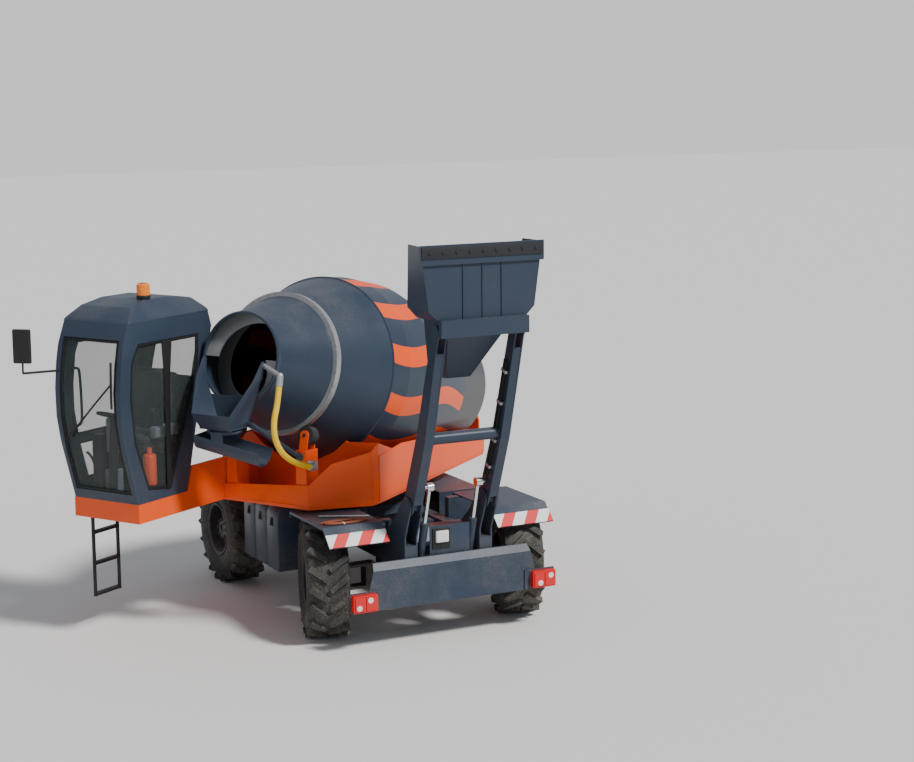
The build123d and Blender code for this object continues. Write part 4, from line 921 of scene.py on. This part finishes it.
# %% Window post, trim and extinguisher
POST_LINE = [(2.365, 2.790), (2.225, 2.790), (2.265, 2.44), (2.290, 1.405), (2.350, 1.405), (2.340, 2.44)]
POST_V = -0.4835
post = plate([on_upper(u, POST_V, z) for u, z in POST_LINE], 0.012)
modify(post, "BEVEL", width=0.003, segments=2, limit_method="ANGLE")
done(post, "window_post", "upper", black_rubber)
TRIM_HALF = 0.34
REAR_TRIM = [(1.885, -TRIM_HALF, 2.40), (1.885, TRIM_HALF, 2.40),
             (2.105, TRIM_HALF, 1.42), (2.105, -TRIM_HALF, 1.42)]
rear_trim = plate([on_upper(u, CAB_MID + v, z) for u, v, z in REAR_TRIM], 0.016)
ceiling = block((0.60, 0.58, 0.020), on_upper(2.30, CAB_MID, 3.02), UPPER_TURN)
done(merged([rear_trim, ceiling]), "cab_trim", "upper", black_plastic)
bottle = start("cylinder", vertices=32, radius=0.062, depth=0.30, location=on_upper(2.47, -0.58, 1.60))
modify(bottle, "BEVEL", width=0.025, segments=4, limit_method="ANGLE")
neck = start("cylinder", vertices=20, radius=0.022, depth=0.06, location=on_upper(2.47, -0.58, 1.775))
extinguisher_red = moulded("extinguisher_red", (0.85, 0.10, 0.02), 0.3, 60.0, 0.02)
done(merged([bottle, neck]), "extinguisher", "upper", extinguisher_red)

# %% [markdown]
# ## Hydraulic hoses on the arms
# Two black hoses run up the inner face of the right arm, side by side, held by clips. Their route
# follows the line from the arm's pivot over its elbow to its tip, and the curve rounds the elbow.

# %% Arm hoses and clips
PIVOT, ELBOW, TIP = (-2.150, 1.310), (-2.420, 1.960), (-2.730, 2.950)   # (x, z) on the right arm
ARM_INNER = 0.385 - 0.046 - 0.022                    # the arm's middle, its half width, the hoses' way off


def along_arm(share, aside=0.0):
    """(x, z) on the arm's centre line: 0 at the pivot, 1 at the elbow, 2 at the tip."""
    a, b = (PIVOT, ELBOW) if share <= 1 else (ELBOW, TIP)
    f = share if share <= 1 else share - 1
    run = Vector((b[0] - a[0], b[1] - a[1])).normalized()
    return a[0] + (b[0] - a[0]) * f - run.y * aside, a[1] + (b[1] - a[1]) * f + run.x * aside


arm_lines, clips = [], []
for aside in (-0.018, 0.018):
    line = []
    for share in (0.35, 0.5, 0.7, 0.9, 1.0, 1.12, 1.3, 1.5, 1.7):
        x, z = along_arm(share, aside)
        line.append(on_chassis(x, -ARM_INNER, z))
    arm_lines.append(tube(line, 0.011, sides=3, order=4))
for share in (0.5, 0.9, 1.3, 1.6):
    x, z = along_arm(share)
    clips.append(slab((0.085, 0.030, 0.030), on_chassis(x, -ARM_INNER - 0.004, z), 0.004,
                      turn=(0, math.radians(-20), 0)))
done(merged(arm_lines), "arm_hoses", "arms", black_rubber)
done(merged(clips), "hose_clips", "arms", galvanised)

# %% [markdown]
# ## A weld on the drum, and the bucket's strip
# A weld bead runs round the drum where its bare rear cone starts: a thin torus about the drum's
# axis. The bucket's rear lip carries a dark strip with a row of bolts.

# %% Second weld and wear strip
REAR_WELD_AT, REAR_WELD_R = 2.830, 0.7345
bead = start("torus", major_segments=160, minor_segments=8, major_radius=REAR_WELD_R, minor_radius=0.007,
             location=MOUTH + ALONG * REAR_WELD_AT, rotation=ALONG.to_track_quat("Z", "Y").to_euler())
done(bead, "rear_weld", "drum", slate)

LIP_X, LIP_TOP = -2.8225, 3.722
STRIP_Z = LIP_TOP - 0.060
BOLTS, BOLT_STEP = 9, 0.130
strip = slab((0.008, 1.190, 0.105), on_chassis(LIP_X - 0.005, 0, STRIP_Z), 0.002)
bolts = []
for n in range(BOLTS):
    bolt = start("cylinder", vertices=6, radius=0.014, depth=0.010,
                 location=on_chassis(LIP_X - 0.013, -0.520 + BOLT_STEP * n, STRIP_Z),
                 rotation=(0, math.radians(90), 0))
    modify(bolt, "BEVEL", width=0.002, segments=2)
    bolts.append(bolt)
done(merged([strip] + bolts), "bucket_strip", "bucket", dark_metal)
